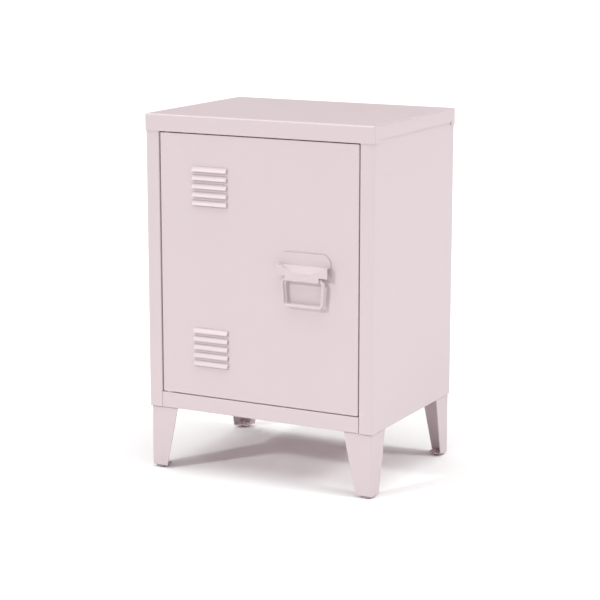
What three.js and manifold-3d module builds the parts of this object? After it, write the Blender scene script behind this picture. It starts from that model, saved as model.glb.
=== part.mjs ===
// A small one-door steel locker on four tapered sheet-metal legs. Millimetres, +Z up, +X to the right
// as one faces the door, -Y towards the person opening it. The origin is on the floor, under the middle
// of the locker's bounding box.
import * as THREE from 'three';
import { mergeVertices } from 'three/addons/utils/BufferGeometryUtils.js';
import Module from 'manifold-3d';

const wasm = await Module();
wasm.setup();

// ---------------------------------------------------------------- driving dimensions
// Overall
const cabinetWidth = 400;
const cabinetDepth = 300;
const cabinetHeight = 575;
const legHeight = 103;
const sheet = 1;
const bend = 0.8; // inside radius of every fold
const fitGap = 0.3; // between pieces that touch or are fastened together

// Top panel, an upturned tray that caps the body
const capOverhang = 1.5;
const capFrontFlange = 27; // the rear flange is as tall
const capSideFlange = 22;
const capCornerWrap = 20; // how far the tall front flange runs round each side
const capRearWrap = 16; // and the rear flange
const capEdgeRadius = 4;
const capReturn = 18; // inward fold along the bottom of the front flange
const bossHeight = 8;
const bossRadius = 4.5;
const bossFromPost = 22;
const bossFromRear = 30;

// Side panels, each folded round into a front post
const postWidth = 23.5;
const stopLip = 12;
const rearFlange = 14;
const backScrewAboveFlange = 12;
const backScrewBelowTop = 30;

// Bottom panel with the front rail
const railHeight = 25.5;
const floorFlange = 20;

// Door
const doorThickness = 16;
const doorReturn = 12;
const hingeSideGap = 2.5;
const latchSideGap = 1.5;
const doorTopGap = 1.6;
const doorBottomGap = 1.5;
const stiffenerWidth = 40;
const stiffenerDepth = 11;
const stiffenerFlange = 10;
const stiffenerEndClearance = 14;

// Door hinge pins and bushings
const pinRadius = 2.4;
const pinEdgeDistance = 9; // pin axis in from the door's hinge edge
const pinFaceDistance = 6.5; // pin axis back from the door's front face
const pinHeadRadius = 4.5;
const pinHeadHeight = 2;
const pinReach = 7;
const runningClearance = 0.4;
const bushingWall = 1.1;
const bushingFlangeExtra = 1.6;
const bushingFlangeThickness = 0.9;

// Louvres
const louverCount = 5;
const louverWidth = 62;
const louverHeight = 7.5;
const louverDepth = 4.5;
const louverPitch = 13.2;
const louverFromCentre = 83.5; // sideways, towards the hinge
const louverGroupOffset = 128.2; // above and below the door's middle
const louverWall = 0.8;

// Handle bracket
const handleFromCentre = 83.5; // sideways, towards the latch
const handleWidth = 87;
const handlePlateThickness = 1.5;
const hoodAboveDoorMiddle = 19.5;
const hoodProjection = 13;
const lipHeight = 17;
const plateAboveHood = 18;
const plateChamfer = 9;
const dishBottomWidth = 34;
const dishDepth = 11.5;
const dishStep = 5;
const knuckleWidth = 58;
const knuckleDrop = 4.3; // lip's lower edge down to the ring's axis
const handleScrewSpacing = 66;
const handleScrewBelowHood = 8;

// Ring pull
const wireRadius = 2.75;
const ringTopWidth = 71.6; // between the arms' centre lines
const ringBottomWidth = 65.3;
const ringDrop = 42;
const ringTopCorner = 9;
const ringBottomCorner = 5;
const ringButtGap = 0.6;

// Legs
const legInset = 2;
const legSheet = 1.6;
const legTopWidth = 48;
const legFootWidth = 27;
const legTopPlate = 44;
const legBoltSpots = [[15, 33], [33, 15]];
const footTabDepth = 20;
const glideHeight = 3.5;
const glideRadius = 9.5;
const glideStemRadius = 3;
const glideFromCorner = 11.5;

// Shelf, tracks and clips
const shelfTop = 330;
const shelfDrop = 16;
const shelfFrontSetback = 34; // behind the locker's front face
const shelfRearSetback = 12;
const trackWidth = 14;
const trackFlange = 6;
const trackDepth = 7;
const trackEndMargin = 41.5;
const trackFromFront = 52;
const trackFromRear = 42;
const slotPitch = 25;
const slotWidth = 8;
const slotHeight = 3;
const clipWidth = 14;
const clipSheet = 1.5;
const clipLedge = 13;

// Magnetic catch and door bumpers
const catchLength = 38;
const catchHeight = 14;
const catchDepth = 26;
const catchFromStopLip = 3;
const catchWall = 2;
const catchScrewSpacing = 26;
const catchScrewSink = 4;
const catchScrewLength = 8;
const catchTabMargin = 2;
const magnetShare = 0.45; // of the housing's depth
const bumperHead = 2.4;
const bumperRadius = 4;
const bumperStemRadius = 1.6;
const bumperFromMiddle = 150;

// Screws
const screwRadius = 1.6;
const screwHeadRadius = 3.4;
const screwHeadHeight = 1.2;
const boltRadius = 2;
const boltHeadRadius = 4;
const boltHeadHeight = 2.4;

// ---------------------------------------------------------------- derived places
const postReturn = doorThickness + bumperHead + 2 * fitGap + sheet;
const halfWidth = cabinetWidth / 2 - capOverhang;
const front = -(cabinetDepth / 2 - capOverhang);
const rear = cabinetDepth / 2 - capOverhang;
const capTop = cabinetHeight;
const capUnderside = capTop - sheet;
const capFrontBottom = capTop - capFrontFlange;
const sideTop = capUnderside - bossHeight;
const floorBottom = legHeight;
const railTop = floorBottom + railHeight;
const openingHalf = halfWidth - postWidth;
const door = {
  left: -openingHalf + hingeSideGap,
  right: openingHalf - latchSideGap,
  bottom: railTop + doorBottomGap,
  top: capFrontBottom - doorTopGap,
  front,
  back: front + doorThickness,
};
const doorMiddle = (door.bottom + door.top) / 2;
const pinAxis = { x: door.left + pinEdgeDistance, y: door.front + pinFaceDistance };
const hoodTop = doorMiddle + hoodAboveDoorMiddle;
const lipBottom = hoodTop - lipHeight;
const ringAxis = {
  y: door.front - hoodProjection + wireRadius + runningClearance + handlePlateThickness,
  z: lipBottom - knuckleDrop,
};
const sideInner = halfWidth - sheet;
const trackFace = sideInner - fitGap - trackDepth;
const trackBottom = floorBottom + trackEndMargin;
const trackTop = sideTop - trackEndMargin;
const slotCount = Math.floor((trackTop - trackBottom) / slotPitch) - 2;
const trackYs = { front: front + trackFromFront, rear: rear - trackFromRear };

// ---------------------------------------------------------------- materials
const paint = (colour) => new THREE.MeshStandardMaterial({ color: colour, roughness: 0.42, metalness: 0 });
const finishes = {
  shellPaint: paint(0xe5d8d9),
  insidePaint: paint(0xe0d2d2),
  zinc: new THREE.MeshStandardMaterial({ color: 0xb9bcc0, roughness: 0.35, metalness: 0.9 }),
  ferrite: new THREE.MeshStandardMaterial({ color: 0x3b3a3a, roughness: 0.6, metalness: 0.2 }),
  whitePlastic: new THREE.MeshStandardMaterial({ color: 0xecebe8, roughness: 0.5, metalness: 0 }),
  darkPlastic: new THREE.MeshStandardMaterial({ color: 0x4c4848, roughness: 0.6, metalness: 0 }),
  clearRubber: new THREE.MeshStandardMaterial({ color: 0xd8d4d0, roughness: 0.7, metalness: 0 }),
};

// ---------------------------------------------------------------- solids
function toSolid(geometry) {
  const bare = geometry.index ? geometry.toNonIndexed() : geometry.clone();
  bare.deleteAttribute('normal');
  bare.deleteAttribute('uv');
  const merged = mergeVertices(bare, 1e-5);
  return new wasm.Manifold(new wasm.Mesh({
    numProp: 3,
    vertProperties: new Float32Array(merged.attributes.position.array),
    triVerts: new Uint32Array(merged.index.array),
  }));
}

function toGeometry(solid) {
  const mesh = solid.getMesh();
  const geometry = new THREE.BufferGeometry();
  geometry.setAttribute('position', new THREE.BufferAttribute(mesh.vertProperties, 3));
  geometry.setIndex(new THREE.BufferAttribute(mesh.triVerts, 1));
  geometry.computeVertexNormals();
  return geometry;
}

const join = (...solids) => solids.reduce((all, next) => all.add(next));
const cut = (body, ...tools) => tools.reduce((left, tool) => left.subtract(tool), body);

function box(x0, x1, y0, y1, z0, z1) {
  const geometry = new THREE.BoxGeometry(x1 - x0, y1 - y0, z1 - z0);
  geometry.translate((x0 + x1) / 2, (y0 + y1) / 2, (z0 + z1) / 2);
  return toSolid(geometry);
}

// An outline of [u, v, corner radius] points; a radius left out is a sharp corner.
function outline(points) {
  const shape = new THREE.Shape();
  points.forEach(([u, v, radius = 0], i) => {
    const before = points[(i + points.length - 1) % points.length];
    const after = points[(i + 1) % points.length];
    const corner = new THREE.Vector2(u, v);
    const into = corner.clone().sub(new THREE.Vector2(before[0], before[1])).normalize();
    const away = new THREE.Vector2(after[0], after[1]).sub(corner).normalize();
    const turn = Math.acos(THREE.MathUtils.clamp(into.dot(away), -1, 1));
    const setback = radius * Math.tan(turn / 2);
    const start = corner.clone().addScaledVector(into, -setback);
    const end = corner.clone().addScaledVector(away, setback);
    if (i === 0) shape.moveTo(start.x, start.y);
    else shape.lineTo(start.x, start.y);
    if (radius > 0) shape.quadraticCurveTo(u, v, end.x, end.y);
  });
  shape.closePath();
  return shape;
}

// The cross-section of a folded sheet. The path follows one face, and the sheet lies on the path's left.
function foldedSheet(path, thickness) {
  const points = path.map(([u, v]) => new THREE.Vector2(u, v));
  const along = points.slice(1).map((p, i) => p.clone().sub(points[i]).normalize());
  const left = along.map((d) => new THREE.Vector2(-d.y, d.x));
  const face = [];
  const back = [];
  points.forEach((p, i) => {
    const a = left[Math.max(i - 1, 0)];
    const b = left[Math.min(i, left.length - 1)];
    const mitre = a.clone().add(b).multiplyScalar(thickness / (1 + a.dot(b)));
    const isEnd = i === 0 || i === points.length - 1;
    const turnsLeft = !isEnd && along[i - 1].cross(along[i]) > 0;
    const faceRadius = turnsLeft ? bend + thickness : bend;
    const backRadius = turnsLeft ? bend : bend + thickness;
    face.push([p.x, p.y, isEnd ? 0 : faceRadius]);
    back.unshift([p.x + mitre.x, p.y + mitre.y, isEnd ? 0 : backRadius]);
  });
  return outline([...face, ...back]);
}

// Extrudes a shape along one axis. Its two coordinates are the axes that follow that one in X, Y, Z order.
const axisBases = {
  x: (m) => m.set(0, 0, 1, 0, 1, 0, 0, 0, 0, 1, 0, 0, 0, 0, 0, 1),
  y: (m) => m.set(0, 1, 0, 0, 0, 0, 1, 0, 1, 0, 0, 0, 0, 0, 0, 1),
  z: (m) => m,
};
function prism(shape, axis, from, to) {
  const geometry = new THREE.ExtrudeGeometry(shape, {
    depth: to - from,
    bevelEnabled: false,
    steps: 1,
    curveSegments: 4,
  });
  geometry.translate(0, 0, from);
  geometry.applyMatrix4(axisBases[axis](new THREE.Matrix4()));
  return toSolid(geometry);
}

// A rod with its ends at two places along an axis.
function rod(radius, axis, from, to, centre) {
  const shape = new THREE.Shape();
  shape.absarc(0, 0, radius, 0, 2 * Math.PI, false);
  const geometry = new THREE.ExtrudeGeometry(shape, {
    depth: to - from,
    bevelEnabled: false,
    steps: 1,
    curveSegments: 8,
  });
  geometry.translate(0, 0, from);
  geometry.applyMatrix4(axisBases[axis](new THREE.Matrix4()));
  geometry.translate(...centre);
  return toSolid(geometry);
}

// A turned piece from a closed [radius, height] profile, standing on Z.
function turned(profile, sides = 24) {
  const geometry = new THREE.LatheGeometry(profile.map(([r, h]) => new THREE.Vector2(r, h)), sides);
  geometry.rotateX(Math.PI / 2);
  return geometry;
}

function mirrored(geometry) {
  const copy = geometry.clone();
  copy.scale(-1, 1, 1);
  const order = copy.index.array;
  for (let i = 0; i < order.length; i += 3) {
    [order[i], order[i + 1]] = [order[i + 1], order[i]];
  }
  copy.computeVertexNormals();
  return copy;
}

// ---------------------------------------------------------------- the assembly
const locker = new THREE.Group();
locker.position.y = (hoodProjection - capOverhang) / 2;

function place(name, shape, finish, position = [0, 0, 0], rotation = [0, 0, 0]) {
  const geometry = shape.isBufferGeometry ? shape : toGeometry(shape);
  const mesh = new THREE.Mesh(geometry, finishes[finish]);
  mesh.name = name;
  mesh.position.set(...position);
  mesh.rotation.set(...rotation);
  locker.add(mesh);
}

// A pan-head screw whose head sits on z = 0 and whose shank points down -Z.
function screw(radius, headRadius, headHeight, length) {
  return turned([
    [0, -length],
    [radius * 0.6, -length],
    [radius, -length + radius],
    [radius, 0],
    [headRadius, 0],
    [headRadius, headHeight * 0.45],
    [headRadius * 0.72, headHeight],
    [0, headHeight],
  ], 16);
}

// ---- top panel
const catchRight = openingHalf - stopLip - catchFromStopLip;
const catchLeft = catchRight - catchLength;
const catchFront = door.back + fitGap;
const catchBack = catchFront + catchDepth;
const catchTop = capFrontBottom - fitGap;
const catchBottom = catchTop - catchHeight;
const catchScrewXs = [-1, 1].map((s) => (catchLeft + catchRight + s * catchScrewSpacing) / 2);
const catchScrewY = catchBack - catchWall - screwHeadRadius - 1;
const bossX = halfWidth - sheet - rearFlange / 2;
const bossYs = { front: front + postReturn + bossFromPost, rear: rear - bossFromRear };

function topPanel() {
  const outer = (inset) => {
    const radius = capEdgeRadius - inset;
    const halfX = cabinetWidth / 2 - inset;
    const halfY = cabinetDepth / 2 - inset;
    const low = capFrontBottom - (inset > 0 ? 1 : 0);
    const high = capTop - inset;
    const sideView = outline([[-halfY, low], [halfY, low], [halfY, high, radius], [-halfY, high, radius]]);
    const frontView = outline([[low, -halfX], [high, -halfX, radius], [high, halfX, radius], [low, halfX]]);
    return prism(sideView, 'x', -halfX, halfX).intersect(prism(frontView, 'y', -halfY, halfY));
  };
  const shortFlanges = box(-cabinetWidth, cabinetWidth, -cabinetDepth / 2 + capCornerWrap,
    cabinetDepth / 2 - capRearWrap, capFrontBottom - 1, capTop - capSideFlange);
  const reach = openingHalf - 2 * fitGap;
  const inwardFold = box(-reach, reach, -cabinetDepth / 2 + sheet / 2, front + capReturn,
    capFrontBottom, capFrontBottom + sheet);
  const catchTab = box(catchLeft - catchTabMargin, catchRight, front + capReturn - 1,
    catchBack + catchTabMargin / 2, capFrontBottom, capFrontBottom + sheet);
  const shell = join(cut(outer(0), outer(sheet), shortFlanges), inwardFold, catchTab);
  const bosses = [];
  const bossHoles = [];
  for (const side of [-1, 1]) {
    for (const y of Object.values(bossYs)) {
      const at = [side * bossX, y, 0];
      bosses.push(rod(bossRadius, 'z', sideTop + fitGap, capUnderside + sheet / 2, at));
      bossHoles.push(rod(screwRadius + fitGap, 'z', sideTop - 1, capUnderside - 1, at));
    }
  }
  const pinHole = rod(pinRadius + runningClearance + bushingWall + fitGap, 'z',
    capFrontBottom - 1, capFrontBottom + sheet + 1, [pinAxis.x, pinAxis.y, 0]);
  const screwHoles = catchScrewXs.map((x) => rod(screwRadius + fitGap, 'z',
    capFrontBottom - 1, capFrontBottom + sheet + 1, [x, catchScrewY, 0]));
  return cut(join(shell, ...bosses), ...bossHoles, pinHole, ...screwHoles);
}
place('top_panel', topPanel(), 'shellPaint');

// ---- side panels
const backScrewX = halfWidth - sheet - rearFlange / 2;
const backScrewZs = {
  lower: floorBottom + floorFlange + backScrewAboveFlange,
  middle: (floorBottom + sideTop) / 2,
  upper: sideTop - backScrewBelowTop,
};
const bumperX = openingHalf - stopLip / 2;
const bumperZs = { lower: doorMiddle - bumperFromMiddle, upper: doorMiddle + bumperFromMiddle };
const lipFront = front + postReturn - sheet;

function sidePanel(hasStopLip) {
  const path = [
    [openingHalf, front + postReturn],
    [openingHalf, front],
    [halfWidth, front],
    [halfWidth, rear],
    [halfWidth - rearFlange, rear],
  ];
  if (hasStopLip) {
    path[0] = [openingHalf, lipFront];
    path.unshift([openingHalf - stopLip, lipFront]);
  }
  const lipEnds = [[floorBottom - 1, railTop + fitGap], [capFrontBottom - fitGap, sideTop + 1]].map(
    ([low, high]) => box(0, openingHalf, front, rear, low, high),
  );
  const wall = cut(prism(foldedSheet(path, sheet), 'z', floorBottom, sideTop), ...lipEnds);
  const topFlange = box(halfWidth - rearFlange, halfWidth - sheet / 2, front + postReturn + 4,
    rear - sheet - 2, sideTop - sheet, sideTop);
  const holes = Object.values(bossYs).map((y) => rod(screwRadius + fitGap, 'z',
    sideTop - sheet - 1, sideTop + 1, [bossX, y, 0]));
  for (const z of Object.values(backScrewZs)) {
    holes.push(rod(screwRadius + fitGap, 'y', rear - sheet - 1, rear + 1, [backScrewX, 0, z]));
  }
  if (hasStopLip) {
    for (const z of Object.values(bumperZs)) {
      holes.push(rod(bumperStemRadius + fitGap, 'y', lipFront - 1, lipFront + sheet + 1, [bumperX, 0, z]));
    }
  }
  return cut(join(wall, topFlange), ...holes);
}
place('right_side_panel', sidePanel(true), 'shellPaint');
place('left_side_panel', mirrored(toGeometry(sidePanel(false))), 'shellPaint');

// ---- back panel
const backOuter = rear - sheet - fitGap;
function backPanel() {
  const half = sideInner - fitGap;
  const panel = box(-half, half, backOuter - sheet, backOuter,
    floorBottom + sheet + fitGap, capUnderside - fitGap);
  const holes = [];
  for (const side of [-1, 1]) {
    for (const z of Object.values(backScrewZs)) {
      holes.push(rod(screwRadius + fitGap, 'y', backOuter - sheet - 1, backOuter + 1,
        [side * backScrewX, 0, z]));
    }
  }
  return cut(panel, ...holes);
}
place('back_panel', backPanel(), 'insidePaint');

// ---- bottom panel
const floorRear = backOuter - sheet - fitGap;
function legCorner(sideX, sideY) {
  return [sideX * (halfWidth - legInset), sideY * (rear - legInset)];
}
const legCorners = {
  front_left: legCorner(-1, -1),
  front_right: legCorner(1, -1),
  rear_left: legCorner(-1, 1),
  rear_right: legCorner(1, 1),
};
function inwards([cornerX, cornerY], [alongX, alongY]) {
  return [cornerX - Math.sign(cornerX) * alongX, cornerY - Math.sign(cornerY) * alongY];
}

function bottomPanel() {
  const railHalf = openingHalf - fitGap;
  const half = sideInner - fitGap;
  const behindPosts = front + postReturn + fitGap;
  const railSection = foldedSheet([
    [front + capReturn, railTop],
    [front, railTop],
    [front, floorBottom],
    [behindPosts + 1, floorBottom],
  ], sheet);
  const rail = prism(railSection, 'x', -railHalf, railHalf);
  const floorSection = foldedSheet([
    [behindPosts, floorBottom],
    [floorRear, floorBottom],
    [floorRear, floorBottom + floorFlange],
  ], sheet);
  const floor = prism(floorSection, 'x', -half, half);
  const sideFlange = (side) => box(Math.min(side * half, side * (half - sheet)),
    Math.max(side * half, side * (half - sheet)), behindPosts, floorRear - sheet / 2,
    floorBottom + sheet / 2, floorBottom + floorFlange);
  const holes = [rod(pinRadius + runningClearance + bushingWall + fitGap, 'z',
    railTop - sheet - 1, railTop + 1, [pinAxis.x, pinAxis.y, 0])];
  for (const corner of Object.values(legCorners)) {
    for (const spot of legBoltSpots) {
      holes.push(rod(boltRadius + fitGap, 'z', floorBottom - 1, floorBottom + sheet + 1,
        [...inwards(corner, spot), 0]));
    }
  }
  return cut(join(rail, floor, sideFlange(-1), sideFlange(1)), ...holes);
}
place('bottom_panel', bottomPanel(), 'shellPaint');

// ---- legs, their bolts and glides
const legTop = floorBottom - fitGap;
const footPlateTop = glideHeight + fitGap + legSheet;

// One leg with its corner on the origin's vertical axis and its flanges along +X and +Y.
function leg() {
  const footBottom = glideHeight + fitGap;
  const taper = [[0, footBottom], [legFootWidth, footBottom], [legTopWidth, legTop], [0, legTop]];
  const flangeX = prism(outline(taper.map(([across, up]) => [up, across])), 'y', 0, legSheet);
  const flangeY = prism(outline(taper), 'x', 0, legSheet);
  const roundCorner = prism(outline([
    [0, 0, bend + legSheet],
    [legTopWidth, 0],
    [legTopWidth, legTopWidth],
    [0, legTopWidth],
  ]), 'z', footBottom, legTop);
  const topPlate = box(legSheet / 2, legTopPlate, legSheet / 2, legTopPlate, legTop - legSheet, legTop);
  const footTabX = box(legSheet / 2, legFootWidth - 3, legSheet / 2, footTabDepth, footBottom, footPlateTop);
  const footTabY = box(legSheet / 2, footTabDepth - 5, footTabDepth - 1, legFootWidth - 1,
    footBottom, footPlateTop);
  const boltHoles = legBoltSpots.map(([x, y]) => rod(boltRadius + fitGap, 'z',
    legTop - legSheet - 1, legTop + 1, [x, y, 0]));
  const glideHole = rod(glideStemRadius + fitGap, 'z', footBottom - 1, footPlateTop + 1,
    [glideFromCorner, glideFromCorner, 0]);
  const folded = join(flangeX, flangeY, topPlate, footTabX, footTabY).intersect(roundCorner);
  return toGeometry(cut(folded, ...boltHoles, glideHole));
}

function glide() {
  return turned([
    [0, 0],
    [glideRadius * 0.8, 0],
    [glideRadius, glideHeight * 0.45],
    [glideRadius, glideHeight],
    [glideStemRadius, glideHeight],
    [glideStemRadius, footPlateTop + fitGap],
    [glideStemRadius + 1, footPlateTop + fitGap],
    [glideStemRadius * 0.6, footPlateTop + 4],
    [0, footPlateTop + 4],
  ]);
}

const legShape = leg();
const legBolt = screw(boltRadius, boltHeadRadius, boltHeadHeight, legSheet + fitGap + sheet + 4);
for (const [corner, [x, y]] of Object.entries(legCorners)) {
  const turnedRound = x > 0 === y > 0;
  const shape = turnedRound ? legShape : mirrored(legShape);
  const yaw = y > 0 ? Math.PI : 0;
  place(`leg_${corner}`, shape, 'shellPaint', [x, y, 0], [0, 0, yaw]);
  legBoltSpots.forEach((spot, i) => {
    place(`leg_bolt_${corner}_${i + 1}`, legBolt, 'zinc',
      [...inwards([x, y], spot), legTop - legSheet - fitGap], [Math.PI, 0, 0]);
  });
  place(`foot_glide_${corner}`, glide(), 'darkPlastic',
    [...inwards([x, y], [glideFromCorner, glideFromCorner]), 0]);
}

// ---- screws for the top and back panels
const topScrew = screw(screwRadius, screwHeadRadius, screwHeadHeight, bossHeight - 1);
const backScrew = screw(screwRadius, screwHeadRadius, screwHeadHeight, 6);
for (const [side, sign] of [['left', -1], ['right', 1]]) {
  for (const [end, y] of Object.entries(bossYs)) {
    place(`top_screw_${end}_${side}`, topScrew, 'zinc',
      [sign * bossX, y, sideTop - sheet - fitGap], [Math.PI, 0, 0]);
  }
  for (const [level, z] of Object.entries(backScrewZs)) {
    place(`back_screw_${level}_${side}`, backScrew, 'zinc',
      [sign * backScrewX, rear + fitGap, z], [-Math.PI / 2, 0, 0]);
  }
}

// ---- shelf, tracks and clips
const clipFace = trackFace - fitGap;
const shelfHalf = clipFace - clipSheet - fitGap;
const shelfBottom = shelfTop - shelfDrop;
const slotNearShelf = Math.round((shelfBottom - trackBottom) / slotPitch) * slotPitch + trackBottom;

function track() {
  const flangeFace = sideInner - fitGap - sheet;
  const section = foldedSheet([
    [flangeFace, trackWidth / 2 + trackFlange],
    [flangeFace, trackWidth / 2],
    [trackFace, trackWidth / 2],
    [trackFace, -trackWidth / 2],
    [flangeFace, -trackWidth / 2],
    [flangeFace, -trackWidth / 2 - trackFlange],
  ], sheet);
  const channel = prism(section, 'z', trackBottom, trackTop);
  const slots = [];
  for (let i = 1; i <= slotCount; i += 1) {
    const z = trackBottom + i * slotPitch;
    slots.push(box(trackFace - 1, trackFace + sheet + 1, -slotWidth / 2, slotWidth / 2,
      z - slotHeight / 2, z + slotHeight / 2));
  }
  return toGeometry(cut(channel, ...slots));
}

function clip() {
  const half = clipWidth / 2;
  const tongueHalf = slotWidth / 2 - fitGap;
  const tongueTop = slotNearShelf + slotHeight / 2 - fitGap;
  const tongueBottom = slotNearShelf - slotHeight / 2 + fitGap;
  const behindTrack = trackFace + sheet + 2 * fitGap;
  const ledgeTop = shelfBottom - fitGap;
  const ledgeBottom = ledgeTop - clipSheet;
  const plate = box(clipFace - clipSheet, clipFace, -half, half,
    Math.min(ledgeBottom, tongueBottom - 4), Math.max(ledgeTop, tongueTop + 4));
  const ledge = box(clipFace - clipLedge, clipFace, -half, half, ledgeBottom, ledgeTop);
  const tongue = box(clipFace - clipSheet, behindTrack + clipSheet, -tongueHalf, tongueHalf,
    tongueBottom, tongueTop);
  const hook = box(behindTrack, behindTrack + clipSheet, -tongueHalf, tongueHalf,
    tongueBottom - 5, tongueTop);
  return toGeometry(join(plate, ledge, tongue, hook));
}

const trackShape = track();
const clipShape = clip();
for (const [end, y] of Object.entries(trackYs)) {
  place(`shelf_track_${end}_right`, trackShape, 'insidePaint', [0, y, 0]);
  place(`shelf_track_${end}_left`, mirrored(trackShape), 'insidePaint', [0, y, 0]);
  place(`shelf_clip_${end}_right`, clipShape, 'zinc', [0, y, 0]);
  place(`shelf_clip_${end}_left`, mirrored(clipShape), 'zinc', [0, y, 0]);
}

function shelf() {
  const shelfFront = front + shelfFrontSetback;
  const shelfRear = rear - shelfRearSetback;
  const section = foldedSheet([
    [shelfRear - 10, shelfBottom],
    [shelfRear, shelfBottom],
    [shelfRear, shelfTop],
    [shelfFront, shelfTop],
    [shelfFront, shelfBottom],
    [shelfFront + 10, shelfBottom],
  ], sheet);
  const tray = prism(section, 'x', -shelfHalf, shelfHalf);
  const endFlange = (side) => box(Math.min(side * shelfHalf, side * (shelfHalf - sheet)),
    Math.max(side * shelfHalf, side * (shelfHalf - sheet)), shelfFront + sheet + bend,
    shelfRear - sheet - bend, shelfBottom, shelfTop - sheet / 2);
  return join(tray, endFlange(-1), endFlange(1));
}
place('shelf', shelf(), 'insidePaint');

// ---- magnetic catch
const magnetGap = 2 * fitGap;
function catchHousing() {
  const body = box(catchLeft, catchRight, catchFront + 1, catchBack, catchBottom, catchTop);
  const magnetPocket = box(catchLeft + catchWall, catchRight - catchWall, catchFront,
    catchFront + catchDepth * magnetShare, catchBottom + catchWall, catchTop - catchWall);
  const screwHoles = catchScrewXs.map((x) => join(
    rod(screwRadius + fitGap, 'z', catchBottom - 1, catchTop + 1, [x, catchScrewY, 0]),
    rod(screwHeadRadius + fitGap, 'z', catchBottom - 1, catchTop - catchScrewSink, [x, catchScrewY, 0]),
  ));
  return cut(body, magnetPocket, ...screwHoles);
}
place('catch_housing', catchHousing(), 'whitePlastic');
place('catch_magnet', box(
  catchLeft + catchWall + magnetGap,
  catchRight - catchWall - magnetGap,
  catchFront,
  catchFront + catchDepth * magnetShare - fitGap,
  catchBottom + catchWall + magnetGap,
  catchTop - catchWall - magnetGap,
), 'ferrite');
const catchScrew = screw(screwRadius, screwHeadRadius, screwHeadHeight, catchScrewLength);
catchScrewXs.forEach((x, i) => {
  place(`catch_screw_${i + 1}`, catchScrew, 'zinc',
    [x, catchScrewY, catchTop - catchScrewSink - fitGap], [Math.PI, 0, 0]);
});

// ---- door bumpers
const bumper = turned([
  [0, -sheet - 3],
  [bumperStemRadius, -sheet - 3],
  [bumperStemRadius, 0],
  [bumperRadius, 0],
  [bumperRadius, bumperHead * 0.6],
  [bumperRadius * 0.7, bumperHead],
  [0, bumperHead],
], 16);
for (const [level, z] of Object.entries(bumperZs)) {
  place(`door_bumper_${level}`, bumper, 'clearRubber', [bumperX, lipFront - fitGap, z], [Math.PI / 2, 0, 0]);
}

// ---- hinge bushings, their flange on z = 0 and their barrel below it
const boreRadius = pinRadius + runningClearance;
const barrelRadius = boreRadius + bushingWall;
function bushing(barrelLength) {
  return turned([
    [boreRadius, -barrelLength],
    [barrelRadius, -barrelLength],
    [barrelRadius, 0],
    [barrelRadius + bushingFlangeExtra, 0],
    [barrelRadius + bushingFlangeExtra, bushingFlangeThickness],
    [boreRadius, bushingFlangeThickness],
    [boreRadius, -barrelLength],
  ]);
}
place('hinge_bushing_lower', bushing(sheet + 1), 'whitePlastic',
  [pinAxis.x, pinAxis.y, railTop + fitGap]);
place('hinge_bushing_upper', bushing(sheet + fitGap), 'whitePlastic',
  [pinAxis.x, pinAxis.y, capFrontBottom + sheet + fitGap]);

// ---- door panel
const louverX = -louverFromCentre;
const louverTops = [];
for (const groupCentre of [doorMiddle + louverGroupOffset, doorMiddle - louverGroupOffset]) {
  for (let i = 0; i < louverCount; i += 1) {
    const fromCentre = ((louverCount - 1) / 2 - i) * louverPitch;
    louverTops.push(groupCentre + fromCentre + louverHeight / 2);
  }
}
const handleX = handleFromCentre;
const handleScrewZ = hoodTop - handleScrewBelowHood;
const handleScrewXs = [-1, 1].map((s) => handleX + s * handleScrewSpacing / 2);

// A louvre blade: a scoop that leans out of the sheet from its top edge, closed at both ends.
function louverScoop(top, inset) {
  const halfWide = louverWidth / 2 - inset;
  const bottom = top - louverHeight - (inset > 0 ? 1 : 0);
  const section = outline([
    [door.front + sheet / 2 + inset, top - 2 * inset],
    [door.front, top - 2 * inset],
    [door.front - louverDepth + inset, top - louverHeight * 0.72, 1],
    [door.front - louverDepth + inset, bottom],
    [door.front + sheet / 2 + inset, bottom],
  ]);
  return prism(section, 'x', louverX - halfWide, louverX + halfWide);
}

function doorPanel() {
  const face = (inset) => outline([
    [door.bottom + inset, door.left + inset, bend],
    [door.top - inset, door.left + inset, bend],
    [door.top - inset, door.right - inset, bend],
    [door.bottom + inset, door.right - inset, bend],
  ]);
  const block = prism(face(0), 'y', door.front, door.back);
  const hollow = prism(face(sheet), 'y', door.front + sheet, door.back - sheet);
  const window = box(door.left + doorReturn, door.right - doorReturn, door.back - sheet - 1, door.back + 1,
    door.bottom + doorReturn, door.top - doorReturn);
  const scoops = louverTops.map((top) => louverScoop(top, 0));
  const scoopHollows = louverTops.map((top) => louverScoop(top, louverWall));
  const slots = louverTops.map((top) => box(
    louverX - louverWidth / 2 + 2,
    louverX + louverWidth / 2 - 2,
    door.front - louverWall,
    door.front + sheet + 1,
    top - louverHeight + 0.8,
    top - 3.2,
  ));
  const holes = [
    rod(pinRadius + fitGap, 'z', door.top - sheet - 1, door.top + 1, [pinAxis.x, pinAxis.y, 0]),
    rod(pinRadius + fitGap, 'z', door.bottom - 1, door.bottom + sheet + 1, [pinAxis.x, pinAxis.y, 0]),
    ...handleScrewXs.map((x) => rod(screwRadius + fitGap, 'y', door.front - 1, door.front + sheet + 1,
      [x, 0, handleScrewZ])),
  ];
  const trimScoops = box(door.left, door.right, door.front + sheet, door.back, door.bottom, door.top);
  const pan = cut(block, hollow, window);
  const outerScoops = join(...scoops.map((scoop, i) => cut(scoop, scoopHollows[i], trimScoops)));
  return cut(join(pan, outerScoops), ...slots, ...holes);
}
place('door_panel', doorPanel(), 'shellPaint');

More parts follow.
